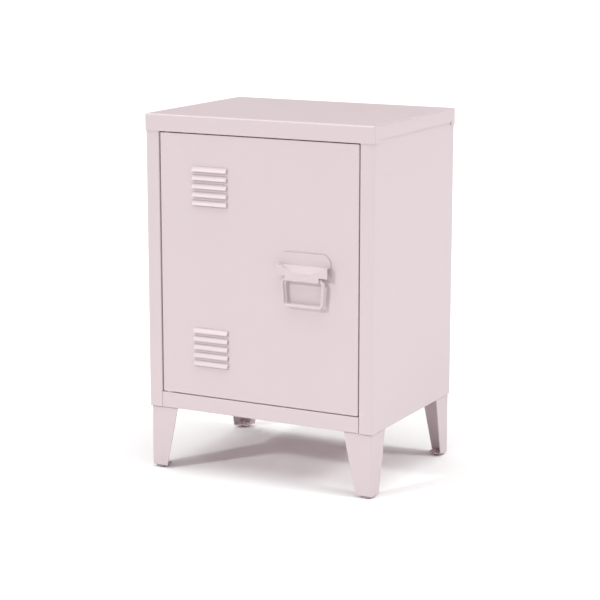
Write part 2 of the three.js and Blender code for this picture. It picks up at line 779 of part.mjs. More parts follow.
// ---- door stiffener
function doorStiffener() {
  const flangeFace = door.front + 2 * sheet + fitGap;
  const webFace = flangeFace + stiffenerDepth;
  const half = stiffenerWidth / 2;
  const section = foldedSheet([
    [half + stiffenerFlange, flangeFace],
    [half, flangeFace],
    [half, webFace],
    [-half, webFace],
    [-half, flangeFace],
    [-half - stiffenerFlange, flangeFace],
  ], sheet);
  return prism(section, 'z', door.bottom + stiffenerEndClearance, door.top - stiffenerEndClearance);
}
place('door_stiffener', doorStiffener(), 'insidePaint');

// ---- hinge pins, carried by the door
function hingePin(flange, reach) {
  return turned([
    [0, -fitGap - pinHeadHeight],
    [pinHeadRadius, -fitGap - pinHeadHeight],
    [pinHeadRadius, -fitGap],
    [pinRadius, -fitGap],
    [pinRadius, flange + reach - 1],
    [pinRadius - 1, flange + reach],
    [0, flange + reach],
  ]);
}
place('hinge_pin_upper', hingePin(sheet, pinReach), 'zinc', [pinAxis.x, pinAxis.y, door.top - sheet]);
place('hinge_pin_lower', hingePin(sheet, pinReach), 'zinc',
  [pinAxis.x, pinAxis.y, door.bottom + sheet], [Math.PI, 0, 0]);

// ---- handle bracket
function handleBracket() {
  const left = handleX - handleWidth / 2;
  const right = handleX + handleWidth / 2;
  const plateBack = door.front - fitGap;
  const plateFront = plateBack - handlePlateThickness;
  const lipFace = door.front - hoodProjection;
  const plateTop = hoodTop + plateAboveHood;
  const plate = prism(outline([
    [lipBottom, left],
    [plateTop, left, plateChamfer],
    [plateTop, right, plateChamfer],
    [lipBottom, right],
  ]), 'y', plateFront, plateBack);

  // The dish pressed into the hood, grown on all sides by `grow`. It runs `above` past the hood's top.
  const above = 10;
  const slantedGrow = 1.4; // how far a slanted wall moves along the hood for each unit of growth
  const dish = (grow) => {
    const low = hoodTop - dishDepth - grow;
    const slope = dishDepth / (hoodProjection - dishStep);
    const ahead = lipFace - 5;
    const across = (handleWidth - dishBottomWidth) / 2 / dishDepth;
    const wide = handleWidth / 2 + above * across + grow;
    const frontView = prism(outline([
      [low, handleX - dishBottomWidth / 2 - grow / 2],
      [hoodTop + above, handleX - wide],
      [hoodTop + above, handleX + wide],
      [low, handleX + dishBottomWidth / 2 + grow / 2],
    ]), 'y', ahead, door.front);
    const sideView = prism(outline([
      [door.front, hoodTop - grow * slantedGrow],
      [door.front, hoodTop + above],
      [ahead, hoodTop + above],
      [ahead, low],
      [door.front - (low - hoodTop) / -slope - grow * slantedGrow / slope, low],
    ].reverse()), 'x', left - 5, right + 5);
    return frontView.intersect(sideView);
  };
  const t = handlePlateThickness;
  const hoodBlock = box(left, right, lipFace, plateFront + t / 2, lipBottom, hoodTop);
  const hoodHollow = box(left - 1, right + 1, lipFace + t, plateFront, lipBottom - 1, hoodTop - t);
  const hood = cut(cut(hoodBlock, dish(0)), cut(hoodHollow, dish(t)));

  const inner = wireRadius + runningClearance;
  const outer = inner + t;
  const wrapEnd = Math.PI + THREE.MathUtils.degToRad(240); // round under the wire and up behind it
  const knuckle = new THREE.Shape();
  knuckle.moveTo(ringAxis.y - outer, lipBottom + 1);
  knuckle.lineTo(ringAxis.y - outer, ringAxis.z);
  knuckle.absarc(ringAxis.y, ringAxis.z, outer, Math.PI, wrapEnd, false);
  knuckle.absarc(ringAxis.y, ringAxis.z, inner, wrapEnd, Math.PI, true);
  knuckle.lineTo(ringAxis.y - inner, lipBottom + 1);
  knuckle.closePath();
  const rolled = new THREE.ExtrudeGeometry(knuckle, {
    depth: knuckleWidth,
    bevelEnabled: false,
    steps: 1,
    curveSegments: 10,
  });
  rolled.translate(0, 0, handleX - knuckleWidth / 2);
  rolled.applyMatrix4(axisBases.x(new THREE.Matrix4()));
  const screwHoles = handleScrewXs.map((x) => rod(screwRadius + fitGap, 'y', plateFront - 1, plateBack + 1,
    [x, 0, handleScrewZ]));
  return cut(join(plate, hood, toSolid(rolled)), ...screwHoles);
}
place('handle_bracket', handleBracket(), 'shellPaint');
const handleScrew = screw(screwRadius, screwHeadRadius, screwHeadHeight, sheet + handlePlateThickness + 3);
handleScrewXs.forEach((x, i) => {
  place(`handle_screw_${i + 1}`, handleScrew, 'zinc',
    [x, door.front + sheet + fitGap, handleScrewZ], [-Math.PI / 2, 0, 0]);
});

// ---- ring pull, one bent wire whose ends meet inside the knuckle
function ringPull() {
  const point = (x, z) => new THREE.Vector3(handleX + x, ringAxis.y, ringAxis.z + z);
  const topHalf = ringTopWidth / 2;
  const bottomHalf = ringBottomWidth / 2;
  const corners = [
    [topHalf, 0, ringTopCorner],
    [bottomHalf, -ringDrop, ringBottomCorner],
    [-bottomHalf, -ringDrop, ringBottomCorner],
    [-topHalf, 0, ringTopCorner],
  ];
  const path = new THREE.CurvePath();
  let last = point(ringButtGap / 2, 0);
  corners.forEach(([x, z, radius], i) => {
    const corner = point(x, z);
    const next = i + 1 < corners.length ? point(corners[i + 1][0], corners[i + 1][1]) : point(0, 0);
    const into = last.clone().sub(corner).normalize();
    const away = next.clone().sub(corner).normalize();
    const start = corner.clone().addScaledVector(into, radius);
    const end = corner.clone().addScaledVector(away, radius);
    path.add(new THREE.LineCurve3(last, start));
    path.add(new THREE.QuadraticBezierCurve3(start, corner, end));
    last = end;
  });
  path.add(new THREE.LineCurve3(last, point(-ringButtGap / 2, 0)));
  const section = new THREE.Shape();
  section.absarc(0, 0, wireRadius, 0, 2 * Math.PI, false);
  return toSolid(new THREE.ExtrudeGeometry(section, {
    steps: 76,
    curveSegments: 6,
    extrudePath: path,
  }));
}
place('ring_pull', ringPull(), 'shellPaint');

export default locker;
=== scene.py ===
"""Builds a small pink steel locker with a louvred door and a drop ring pull round its engineering model.

Run as a script: it registers its panel and operators, makes each sub-part as a separate piece on the
engineering frame, and lights it in a plain studio.
"""

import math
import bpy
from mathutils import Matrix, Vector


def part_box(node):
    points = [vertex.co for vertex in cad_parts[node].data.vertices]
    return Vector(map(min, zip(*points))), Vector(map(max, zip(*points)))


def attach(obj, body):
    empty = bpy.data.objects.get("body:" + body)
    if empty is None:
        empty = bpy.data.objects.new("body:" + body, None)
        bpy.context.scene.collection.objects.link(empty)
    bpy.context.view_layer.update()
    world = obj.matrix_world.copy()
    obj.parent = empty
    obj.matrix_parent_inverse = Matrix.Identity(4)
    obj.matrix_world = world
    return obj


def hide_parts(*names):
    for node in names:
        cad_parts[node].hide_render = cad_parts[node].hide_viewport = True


bl_info = {
    "name": "Steel Locker",
    "version": (1, 0, 0),
    "blender": (4, 5, 0),
    "location": "View3D > Sidebar > Locker",
    "description": "Makes a one-door steel locker with pressed louvres and a drop ring pull",
    "category": "Object",
}

from contextlib import contextmanager

import bmesh
import bpy
from mathutils import Matrix, Vector

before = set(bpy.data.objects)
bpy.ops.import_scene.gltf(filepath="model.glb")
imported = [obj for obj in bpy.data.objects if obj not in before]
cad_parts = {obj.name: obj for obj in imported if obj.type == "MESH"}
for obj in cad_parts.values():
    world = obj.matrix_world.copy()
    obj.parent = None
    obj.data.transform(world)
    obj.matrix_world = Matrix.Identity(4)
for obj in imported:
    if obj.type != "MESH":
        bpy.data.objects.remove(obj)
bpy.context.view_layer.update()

MM = 0.001
GAP = 0.3  # between pieces that touch, as in the engineering model
SIDES = {"left": -1, "right": 1}
ENDS = {"front": -1, "rear": 1}


# ------------------------------------------------------------------ what a user would change
def length(name, description, millimetres):
    """A length property that is given in millimetres and shown in the scene's own unit."""
    return bpy.props.FloatProperty(
        name=name, description=description, default=millimetres * MM, min=0.0, precision=5,
        subtype="DISTANCE", unit="LENGTH")


def linear(hex_code):
    """The linear red, green and blue of an sRGB hex colour."""
    channels = [int(hex_code[i:i + 2], 16) / 255 for i in (1, 3, 5)]
    return [c / 12.92 if c <= 0.04045 else ((c + 0.055) / 1.055) ** 2.4 for c in channels]


def tone(name, description, hex_code):
    return bpy.props.FloatVectorProperty(
        name=name, description=description, default=linear(hex_code), min=0.0, max=1.0, subtype="COLOR")


class LockerSizes(bpy.types.PropertyGroup):
    sheet: length("Sheet", "Thickness of the body and door sheet", 1.0)
    leg_sheet: length("Leg sheet", "Thickness of the leg sheet", 1.6)
    fold: length("Fold radius", "Outside radius of the folds in the body sheet", 1.8)
    rim: length("Rim", "Softened edge that the paint leaves on cut sheet", 0.18)
    cap_edge: length("Cap edge", "Outside radius of the top panel's upper edges", 2.4)
    cap_side_flange: length("Cap side flange", "Height of the top panel's side flanges", 22.0)
    cap_wrap: length("Cap wrap", "How far the tall front flange runs round each side", 20.0)
    cap_rear_wrap: length("Cap rear wrap", "How far the tall rear flange runs round each side", 16.0)
    louvre_width: length("Louvre width", "Width of each pressed louvre", 62.0)
    louvre_height: length("Louvre height", "Height of each pressed louvre", 7.5)
    louvre_depth: length("Louvre depth", "How far a louvre's mouth stands out of the door", 4.5)
    louvre_pitch: length("Louvre pitch", "Distance from one louvre to the next", 13.2)
    ring_wire: length("Ring wire", "Radius of the ring pull's wire", 2.75)


class LockerColours(bpy.types.PropertyGroup):
    shell: tone("Shell paint", "Powder coat of the body, door and legs", "#D0C1C5")
    inside: tone("Inside paint", "Powder coat of the shelf, tracks and back panel", "#CBBCC0")
    zinc: tone("Zinc", "Zinc plate of screws, bolts, pins and clips", "#C9CCD1")
    ferrite: tone("Ferrite", "Catch magnet", "#3B3A3A")
    nylon: tone("Nylon", "Catch housing and hinge bushings", "#ECEBE8")
    glide: tone("Glide", "Polyethylene foot glides", "#A89494")
    rubber: tone("Rubber", "Door bumpers", "#D8D4D0")
    floor: tone("Floor", "Studio floor", "#FBFAFA")


def sizes():
    return bpy.context.scene.locker_sizes


def mm(name):
    """One of the sizes, in millimetres."""
    return getattr(sizes(), name) / MM


# ------------------------------------------------------------------ places from the engineering model
class Box:
    """A CAD node's box in millimetres: x0, x1, y0, y1, z0, z1."""

    def __init__(self, node):
        low, high = (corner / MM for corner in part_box(node))
        self.x0, self.y0, self.z0 = low
        self.x1, self.y1, self.z1 = high
        self.mid = (low + high) / 2
        self.size = high - low


# ------------------------------------------------------------------ modelling, as by hand
def focus(obj):
    """Makes one object active and selected, and nothing else."""
    bpy.ops.object.select_all(action="DESELECT")
    obj.select_set(True)
    bpy.context.view_layer.objects.active = obj


@contextmanager
def editing(obj):
    focus(obj)
    bpy.ops.object.mode_set(mode="EDIT")
    yield
    bpy.ops.object.mode_set(mode="OBJECT")


def pick(kind, test):
    """Selects, in edit mode, only the elements whose centre, in millimetres, and element pass the test."""
    bpy.ops.mesh.select_mode(type=kind)
    bpy.ops.mesh.select_all(action="DESELECT")
    mesh = bpy.context.edit_object.data
    shape = bmesh.from_edit_mesh(mesh)
    found = 0
    for element in {"VERT": shape.verts, "EDGE": shape.edges, "FACE": shape.faces}[kind]:
        corners = [element.co] if kind == "VERT" else [v.co for v in element.verts]
        centre = sum(corners, Vector()) / len(corners) / MM
        if test(centre, element):
            element.select_set(True)
            found += 1
    shape.select_flush_mode()
    bmesh.update_edit_mesh(mesh)
    if not found:
        raise RuntimeError(f"nothing to pick on {bpy.context.edit_object.name}")


def near(a, b, within=0.02):
    return abs(a - b) < within


def move(offset):
    bpy.ops.transform.translate(value=Vector(offset) * MM)


def extrude(offset):
    bpy.ops.mesh.extrude_region_move(TRANSFORM_OT_translate={"value": Vector(offset) * MM})


def bisect(point, normal):
    """Splits all that is picked with a plane, and leaves both halves."""
    bpy.ops.mesh.bisect(plane_co=Vector(point) * MM, plane_no=normal)


def bevel(width, segments=3, affect="EDGES"):
    bpy.ops.mesh.bevel(offset=width * MM, segments=segments, affect=affect, clamp_overlap=True)


def runs_along(edge, axis):
    """Whether an edge lies along one of the axes 0, 1 or 2."""
    along = (edge.verts[1].co - edge.verts[0].co).normalized()
    return abs(along[axis]) > 0.99


def new_piece(name):
    piece = bpy.context.object
    piece.name = name
    piece.data.name = name
    bpy.ops.object.transform_apply(location=True, rotation=True, scale=True)
    return piece


def add_block(name, x, y, z):
    """A block between two places on each axis, in millimetres."""
    bpy.ops.object.select_all(action="DESELECT")
    centre = [(pair[0] + pair[1]) / 2 * MM for pair in (x, y, z)]
    spans = [abs(pair[1] - pair[0]) * MM for pair in (x, y, z)]
    bpy.ops.mesh.primitive_cube_add(size=1, location=centre, scale=spans)
    return new_piece(name)


def add_rod(name, radius, start, end, sides=32):
    """A round rod between two points, in millimetres."""
    bpy.ops.object.select_all(action="DESELECT")
    start, end = Vector(start), Vector(end)
    turn = (end - start).to_track_quat("Z", "Y").to_euler()
    bpy.ops.mesh.primitive_cylinder_add(
        vertices=sides, radius=radius * MM, depth=(end - start).length * MM,
        location=(start + end) / 2 * MM, rotation=turn)
    return new_piece(name)


def apply(obj, kind, **settings):
    """Adds one modifier with its settings and applies it."""
    focus(obj)
    modifier = obj.modifiers.new(kind.title(), kind)
    for key, value in settings.items():
        setattr(modifier, key, value)
    bpy.ops.object.modifier_apply(modifier=modifier.name)


def boolean(obj, others, operation):
    for other in others:
        apply(obj, "BOOLEAN", operation=operation, object=other, solver="EXACT")
        bpy.data.objects.remove(other, do_unlink=True)


def cut(obj, *others):
    boolean(obj, others, "DIFFERENCE")


def unite(obj, *others):
    boolean(obj, others, "UNION")


def thicken(obj, thickness):
    """Gives an open sheet its thickness, on the side away from its normals, with its edges cut square."""
    apply(obj, "SOLIDIFY", thickness=thickness * MM, offset=-1, solidify_mode="NON_MANIFOLD",
          nonmanifold_thickness_mode="CONSTRAINTS", nonmanifold_boundary_mode="FLAT")


def soften(obj, width, segments=2, angle=50, smooth=35):
    """Rounds the sharp edges and shades the rest smooth."""
    apply(obj, "BEVEL", width=width * MM, segments=segments, limit_method="ANGLE",
          angle_limit=math.radians(angle), use_clamp_overlap=True)
    with editing(obj):
        bpy.ops.mesh.select_all(action="SELECT")
        bpy.ops.mesh.remove_doubles(threshold=0.02 * MM)
        bpy.ops.mesh.dissolve_degenerate(threshold=0.01 * MM)
    smooth_shading(obj, smooth)


def smooth_shading(obj, angle):
    """Shades rounded edges smooth and keeps the flats between them flat."""
    focus(obj)
    bpy.ops.object.shade_smooth_by_angle(angle=math.radians(angle))
    apply(obj, "WEIGHTED_NORMAL", weight=90, keep_sharp=True)


def fold_strip(name, points, axis, low, high, radius, segments=4):
    """An open strip folded along a row of (u, v) points, from low to high along an axis.

    u and v are the axes that follow that one in X, Y, Z order. The strip's normals point to the right
    of the row, so the thickness grows to its left.
    """
    along = Vector((0, 0, 0))
    along["XYZ".index(axis)] = 1
    u = Vector((along.z, along.x, along.y))
    v = Vector((along.y, along.z, along.x))
    place = lambda point: u * point[0] + v * point[1]
    first, second = place(points[0]), place(points[1])
    facet = second - first
    turn = Matrix((facet.normalized(), along, facet.normalized().cross(along))).transposed().to_euler()
    bpy.ops.object.select_all(action="DESELECT")
    bpy.ops.mesh.primitive_plane_add(
        size=1, rotation=turn, location=((first + second) / 2 + along * (low + high) / 2) * MM)
    bpy.context.object.scale = (facet.length * MM, (high - low) * MM, 1)
    strip = new_piece(name)
    middle = along * (low + high) / 2
    with editing(strip):
        for start, end in zip(points[1:], points[2:]):
            at = place(start) + middle
            pick("EDGE", lambda c, e: (c - at).length < 0.02)
            extrude(place(end) - place(start))
        folds = [place(p) + middle for p in points[1:-1]]
        if radius and folds:
            pick("EDGE", lambda c, e: any((c - at).length < 0.02 for at in folds))
            bevel(radius, segments)
    return strip


def hand_over(piece, body, slot, *nodes):
    """Parents a piece to the body that carries it, gives it the finish made for a slot, and hides the CAD nodes
    that it replaces.
    """
    finish = FINISHES[slot]()
    piece.data.materials.clear()
    piece.data.materials.append(finish)
    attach(piece, body)
    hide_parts(*nodes)


# ------------------------------------------------------------------ finishes
def add_node(tree, kind, inputs=None, **settings):
    """Adds a node with its settings. Each input is a value, or another node's output to link to."""
    made = tree.nodes.new(kind)
    for key, value in settings.items():
        setattr(made, key, value)
    for key, value in (inputs or {}).items():
        if isinstance(value, bpy.types.NodeSocket):
            tree.links.new(value, made.inputs[key])
        else:
            made.inputs[key].default_value = value
    return made


def finish(name, colour, other, patch, roughness, peel, peel_height, **shader):
    """A finish whose colour drifts between two tones in patches, over a fine raised grain.

    patch and peel are the sizes of a patch and of a grain, and peel_height its height, in millimetres.
    roughness is its lowest and highest value, and shader holds what is the same all over.
    """
    if name in bpy.data.materials:
        return bpy.data.materials[name]
    material = bpy.data.materials.new(name)
    material.use_nodes = True
    tree = material.node_tree
    tree.nodes.clear()
    place = add_node(tree, "ShaderNodeTexCoord").outputs["Object"]
    drift = add_node(tree, "ShaderNodeTexNoise", {
        "Vector": place, "Scale": 1 / (patch * MM), "Detail": 3.0, "Roughness": 0.55})
    tint = add_node(tree, "ShaderNodeMix", {
        "Factor": drift.outputs["Fac"], "A": (*colour, 1), "B": (*other, 1)}, data_type="RGBA")
    grain = add_node(tree, "ShaderNodeTexNoise", {
        "Vector": place, "Scale": 1 / (peel * MM), "Detail": 2.0, "Roughness": 0.45})
    gloss = add_node(tree, "ShaderNodeMapRange", {
        "Value": drift.outputs["Fac"], "To Min": roughness[0], "To Max": roughness[1]})
    bump = add_node(tree, "ShaderNodeBump", {
        "Height": grain.outputs["Fac"], "Strength": 0.6, "Distance": peel_height * MM})
    surface = add_node(tree, "ShaderNodeBsdfPrincipled", {
        "Base Color": tint.outputs["Result"], "Roughness": gloss.outputs["Result"],
        "Normal": bump.outputs["Normal"], **shader})
    add_node(tree, "ShaderNodeOutputMaterial", {"Surface": surface.outputs["BSDF"]})
    return material


def shade(colour, factor):
    """The same colour, lighter or darker."""
    return [min(1.0, c * factor) for c in colour]


def colours():
    return bpy.context.scene.locker_colours


def powder_coat():
    """Polyester powder baked on steel: satin, with a soft orange peel.

    The peel is drawn 2.6 mm apart, where real powder flows into bumps of 1 to 2 mm, so that it shows.
    """
    paint = colours().shell
    return finish("powder_coat_pink", shade(paint, 0.985), shade(paint, 1.012), 90, (0.36, 0.46), 2.6, 0.02,
                  **{"IOR": 1.5, "Coat Weight": 0.12, "Coat Roughness": 0.3})


def inside_coat():
    """The same powder on the inner pieces, which get a thinner and duller coat."""
    paint = colours().inside
    return finish("powder_coat_inside", shade(paint, 0.97), shade(paint, 1.01), 60, (0.44, 0.56), 2.2, 0.03,
                  **{"IOR": 1.5})


def zinc_plate():
    """Bright zinc electroplate on steel: silvery, with faint patches where the rinse dried."""
    metal = colours().zinc
    return finish("zinc_plated_steel", shade(metal, 0.86), shade(metal, 1.04), 4, (0.24, 0.42), 0.5, 0.01,
                  **{"Metallic": 1.0})


def ferrite():
    """Pressed and sintered ferrite: near black and matt, with a fine gritty skin."""
    block = colours().ferrite
    return finish("sintered_ferrite", shade(block, 0.8), shade(block, 1.15), 5, (0.55, 0.7), 0.4, 0.03,
                  **{"IOR": 1.6})


def nylon():
    """Moulded natural nylon: milky white with a silky skin."""
    resin = colours().nylon
    return finish("moulded_nylon", shade(resin, 0.96), shade(resin, 1.0), 14, (0.38, 0.5), 0.6, 0.01,
                  **{"IOR": 1.53, "Subsurface Weight": 0.15, "Subsurface Scale": 2 * MM})


def polyethylene():
    """Moulded polyethylene: waxy, soft edged and slightly scuffed."""
    resin = colours().glide
    return finish("moulded_polyethylene", shade(resin, 0.9), shade(resin, 1.05), 6, (0.45, 0.62), 0.8, 0.02,
                  **{"IOR": 1.51})


def bumper_rubber():
    """Clear soft rubber gone slightly milky."""
    rubber = colours().rubber
    return finish("milky_rubber", shade(rubber, 0.94), shade(rubber, 1.02), 3, (0.5, 0.65), 0.5, 0.01,
                  **{"IOR": 1.5, "Subsurface Weight": 0.3, "Subsurface Scale": 1 * MM})


FINISHES = {
    "shell_paint": powder_coat,
    "inside_paint": inside_coat,
    "zinc_plate": zinc_plate,
    "ferrite": ferrite,
    "white_plastic": nylon,
    "dark_plastic": polyethylene,
    "bumper_rubber": bumper_rubber,
}


# ------------------------------------------------------------------ places that several pieces share
def opening_half():
    return -Box("left_side_panel").x1


def bushing_hole(level):
    """Radius of the hole that a hinge bushing sits in."""
    flange_past_barrel = 1.6
    return Box(f"hinge_bushing_{level}").size.x / 2 - flange_past_barrel + GAP


def screw_hole(node, axis, start, end, radius=1.9):
    """A cutter for the hole of the screw in a CAD node, along axis 0, 1 or 2."""
    ends = []
    for along in (start, end):
        point = Vector(Box(node).mid)
        point[axis] = along
        ends.append(point)
    return add_rod("hole", radius, *ends, sides=24)


class PieceOperator(bpy.types.Operator):
    bl_options = {"REGISTER", "UNDO"}

    def execute(self, context):
        self.make()
        return {"FINISHED"}


# ------------------------------------------------------------------ body
def pressed_cap():
    """The top panel before its bosses and holes: an upturned tray with rounded edges."""
    cap, opening, housing = Box("top_panel"), opening_half(), Box("catch_housing")
    corner = 2.9
    flange_low = cap.z1 - mm("cap_side_flange")
    wrap_front = cap.y0 + mm("cap_wrap")
    wrap_rear = cap.y1 - mm("cap_rear_wrap")
    return_half = opening - 2 * GAP
    return_end = Box("door_panel").y1 + 2
    tab = (housing.x0 - 2, housing.x1)
    shell = add_block("top_pressing", (cap.x0, cap.x1), (cap.y0, cap.y1), (cap.z0, cap.z1))
    with editing(shell):
        pick("FACE", lambda c, f: f.normal.z < -0.5)
        bpy.ops.mesh.delete(type="FACE")
        pick("EDGE", lambda c, e: runs_along(e, 2))
        bevel(corner, 4)
        pick("EDGE", lambda c, e: near(c.z, cap.z1))
        bevel(mm("cap_edge"), 6)
        for point, normal in [((0, 0, flange_low), (0, 0, 1)), ((0, wrap_front, 0), (0, 1, 0)),
                              ((0, wrap_rear, 0), (0, 1, 0))]:
            bpy.ops.mesh.select_all(action="SELECT")
            bisect(point, normal)
        pick("FACE", lambda c, f: c.z < flange_low and wrap_front < c.y < wrap_rear)
        bpy.ops.mesh.delete(type="FACE")
        for x in (-return_half, return_half, *tab):
            pick("FACE", lambda c, f: f.normal.y < -0.99)
            bisect((x, 0, 0), (1, 0, 0))
        pick("EDGE", lambda c, e: near(c.z, cap.z0) and near(c.y, cap.y0) and abs(c.x) < return_half)
        extrude((0, return_end - cap.y0, 0))
        pick("EDGE", lambda c, e: near(c.y, return_end) and tab[0] < c.x < tab[1])
        extrude((0, housing.y1 + 1 - return_end, 0))
        pick("EDGE", lambda c, e: near(c.z, cap.z0) and near(c.y, cap.y0) and abs(c.x) < return_half)
        bevel(mm("fold"), 4)
    thicken(shell, mm("sheet"))
    return shell


class LOCKER_OT_top_panel(PieceOperator):
    """Press the top panel: a tray that caps the body, with bosses for its screws"""
    bl_idname = "locker.top_panel"
    bl_label = "Top panel"

    def make(self):
        cap, side, sheet = Box("top_panel"), Box("right_side_panel"), mm("sheet")
        shell = pressed_cap()
        screws = [f"top_screw_{end}_{side_name}" for end in ENDS for side_name in SIDES]
        bosses = []
        for node in screws:
            at = Box(node).mid
            bosses.append(add_rod("boss", 4.5, (at.x, at.y, side.z1 + GAP), (at.x, at.y, cap.z1 - sheet / 2)))
        unite(shell, *bosses)
        cut(shell, *[screw_hole(node, 2, side.z1 - 1, cap.z1 - 2 * sheet) for node in screws])
        pin = Box("hinge_bushing_upper").mid
        relief = 1.7
        corner = (cap.y1 - mm("cap_rear_wrap") - relief / 2, cap.z1 - mm("cap_side_flange") + relief / 2)
        cut(shell,
            add_rod("hole", bushing_hole("upper"), (pin.x, pin.y, cap.z0 - 2), (pin.x, pin.y, cap.z0 + 4)),
            screw_hole("catch_screw_1", 2, cap.z0 - 2, cap.z0 + 4),
            screw_hole("catch_screw_2", 2, cap.z0 - 2, cap.z0 + 4),
            add_rod("hole", relief, (cap.x0 - 1, *corner), (cap.x0 + 2, *corner), 16),
            add_rod("hole", relief, (cap.x1 - 2, *corner), (cap.x1 + 1, *corner), 16))
        soften(shell, mm("rim"))
        hand_over(shell, "cabinet", "shell_paint", "top_panel")


class LOCKER_OT_side_panels(PieceOperator):
    """Fold the side panels, each round into a front post and a rear flange"""
    bl_idname = "locker.side_panels"
    bl_label = "Side panels"

    def make(self):
        for side in SIDES:
            self.fold(side)

    def fold(self, side):
        sign, sheet = SIDES[side], mm("sheet")
        body, cap, rail = Box("right_side_panel"), Box("top_panel"), Box("bottom_panel")
        has_stop_lip = side == "right"
        opening = opening_half()
        rear_flange, lip_setback, top_flange = 14, 19, 14
        lip_front = body.y0 + lip_setback
        path = [
            (opening, lip_front + sheet),
            (opening, body.y0),
            (body.x1, body.y0),
            (body.x1, body.y1),
            (body.x1 - rear_flange, body.y1),
        ]
        if has_stop_lip:
            path[0] = (opening, lip_front)
            path.insert(0, (body.x0, lip_front))
        else:
            path = [(-x, y) for x, y in reversed(path)]
        panel = fold_strip(f"{side}_side_sheet", path, "Z", body.z0, body.z1, mm("fold"), 5)
        thicken(panel, sheet)
        if has_stop_lip:
            cut(panel,
                add_block("trim", (100, opening), (-200, 200), (body.z0 - 1, rail.z1 + GAP)),
                add_block("trim", (100, opening), (-200, 200), (cap.z0 - GAP, body.z1 + 1)))
        inner = sign * (body.x1 - sheet / 2)
        unite(panel, add_block("flange", (sign * (body.x1 - top_flange), inner),
                               (lip_front + sheet + 4, body.y1 - sheet - 2), (body.z1 - sheet, body.z1)))
        holes = [screw_hole(f"top_screw_{end}_{side}", 2, body.z1 - 3, body.z1 + 2) for end in ENDS]
        holes += [screw_hole(f"back_screw_{level}_{side}", 1, body.y1 - 3, body.y1 + 2)
                  for level in ("lower", "middle", "upper")]
        if has_stop_lip:
            holes += [screw_hole(f"door_bumper_{level}", 1, lip_front - 2, lip_front + 3)
                      for level in ("lower", "upper")]
        cut(panel, *holes)
        soften(panel, mm("rim"))
        hand_over(panel, "cabinet", "shell_paint", f"{side}_side_panel")


class LOCKER_OT_bottom_panel(PieceOperator):
    """Fold the floor and the front rail below the door"""
    bl_idname = "locker.bottom_panel"
    bl_label = "Bottom panel"

    def make(self):
        box, sheet = Box("bottom_panel"), mm("sheet")
        rail_half = opening_half() - GAP
        rail_return, flange, behind_posts, relief = 18, 20, 20 + GAP, 4
        floor_front = box.y0 + behind_posts
        rail = fold_strip("bottom_sheet", [
            (box.y0 + rail_return, box.z1),
            (box.y0, box.z1),
            (box.y0, box.z0),
            (box.y1, box.z0),
            (box.y1, box.z0 + flange),
        ], "X", -rail_half, rail_half, mm("fold"), 5)
        with editing(rail):
            pick("FACE", lambda c, f: f.normal.z < -0.99)
            bisect((0, floor_front, 0), (0, 1, 0))
            pick("FACE", lambda c, f: f.normal.z < -0.99)
            bisect((0, box.y1 - relief, 0), (0, 1, 0))
            for sign in SIDES.values():
                pick("EDGE", lambda c, e: near(c.x, sign * rail_half) and c.y > floor_front)
                extrude((sign * (box.x1 - rail_half), 0, 0))
                pick("EDGE", lambda c, e: near(c.x, sign * box.x1) and near(c.z, box.z0)
                     and c.y < box.y1 - relief)
                extrude((0, 0, flange))
                pick("EDGE", lambda c, e: near(c.x, sign * box.x1) and near(c.z, box.z0) and runs_along(e, 1))
                bevel(mm("fold"), 5)
        thicken(rail, sheet)
        pin = Box("hinge_bushing_lower").mid
        holes = [add_rod("hole", bushing_hole("lower"), (pin.x, pin.y, box.z1 - 3), (pin.x, pin.y, box.z1 + 2))]
        holes += [screw_hole(f"leg_bolt_{end}_{side}_{i}", 2, box.z0 - 2, box.z0 + 3, 2.3)
                  for end in ENDS for side in SIDES for i in (1, 2)]
        cut(rail, *holes)
        soften(rail, mm("rim"))
        hand_over(rail, "cabinet", "shell_paint", "bottom_panel")


class LOCKER_OT_back_panel(PieceOperator):
    """Cut the back panel, with two shallow stiffening ribs pressed in"""
    bl_idname = "locker.back_panel"
    bl_label = "Back panel"

    def make(self):
        box, sheet = Box("back_panel"), mm("sheet")
        rib_half, rib_depth, rib_slope = 7, 0.9, 3
        panel = add_block("back_sheet", (box.x0, box.x1), (box.y0, box.y1), (box.z0, box.z1))
        ribs = [box.mid.x + offset * box.size.x for offset in (-0.2, 0.2)]
        ends = (box.z0 + 40, box.z1 - 40)
        with editing(panel):
            pick("FACE", lambda c, f: f.normal.y < 0.5)
            bpy.ops.mesh.delete(type="FACE")
            cuts = [((x + s * rib_half, 0, 0), (1, 0, 0)) for x in ribs for s in (-1, 1)]
            cuts += [((0, 0, z), (0, 0, 1)) for z in ends]
            for point, normal in cuts:
                bpy.ops.mesh.select_all(action="SELECT")
                bisect(point, normal)
            pick("FACE", lambda c, f: ends[0] < c.z < ends[1] and any(near(c.x, x, 1) for x in ribs))
            bpy.ops.mesh.inset(thickness=rib_slope * MM, depth=0, use_individual=True)
            move((0, -rib_depth, 0))
            pick("EDGE", lambda c, e: any(abs(c.x - x) < rib_half + 0.1 for x in ribs) and len(e.link_faces) == 2
                 and e.calc_face_angle(0) > 0.1)
            bevel(0.9, 3)
        thicken(panel, sheet)
        cut(panel, *[screw_hole(f"back_screw_{level}_{side}", 1, box.y0 - 3, box.y1 + 3)
                     for level in ("lower", "middle", "upper") for side in SIDES])
        soften(panel, mm("rim"))
        hand_over(panel, "cabinet", "inside_paint", "back_panel")


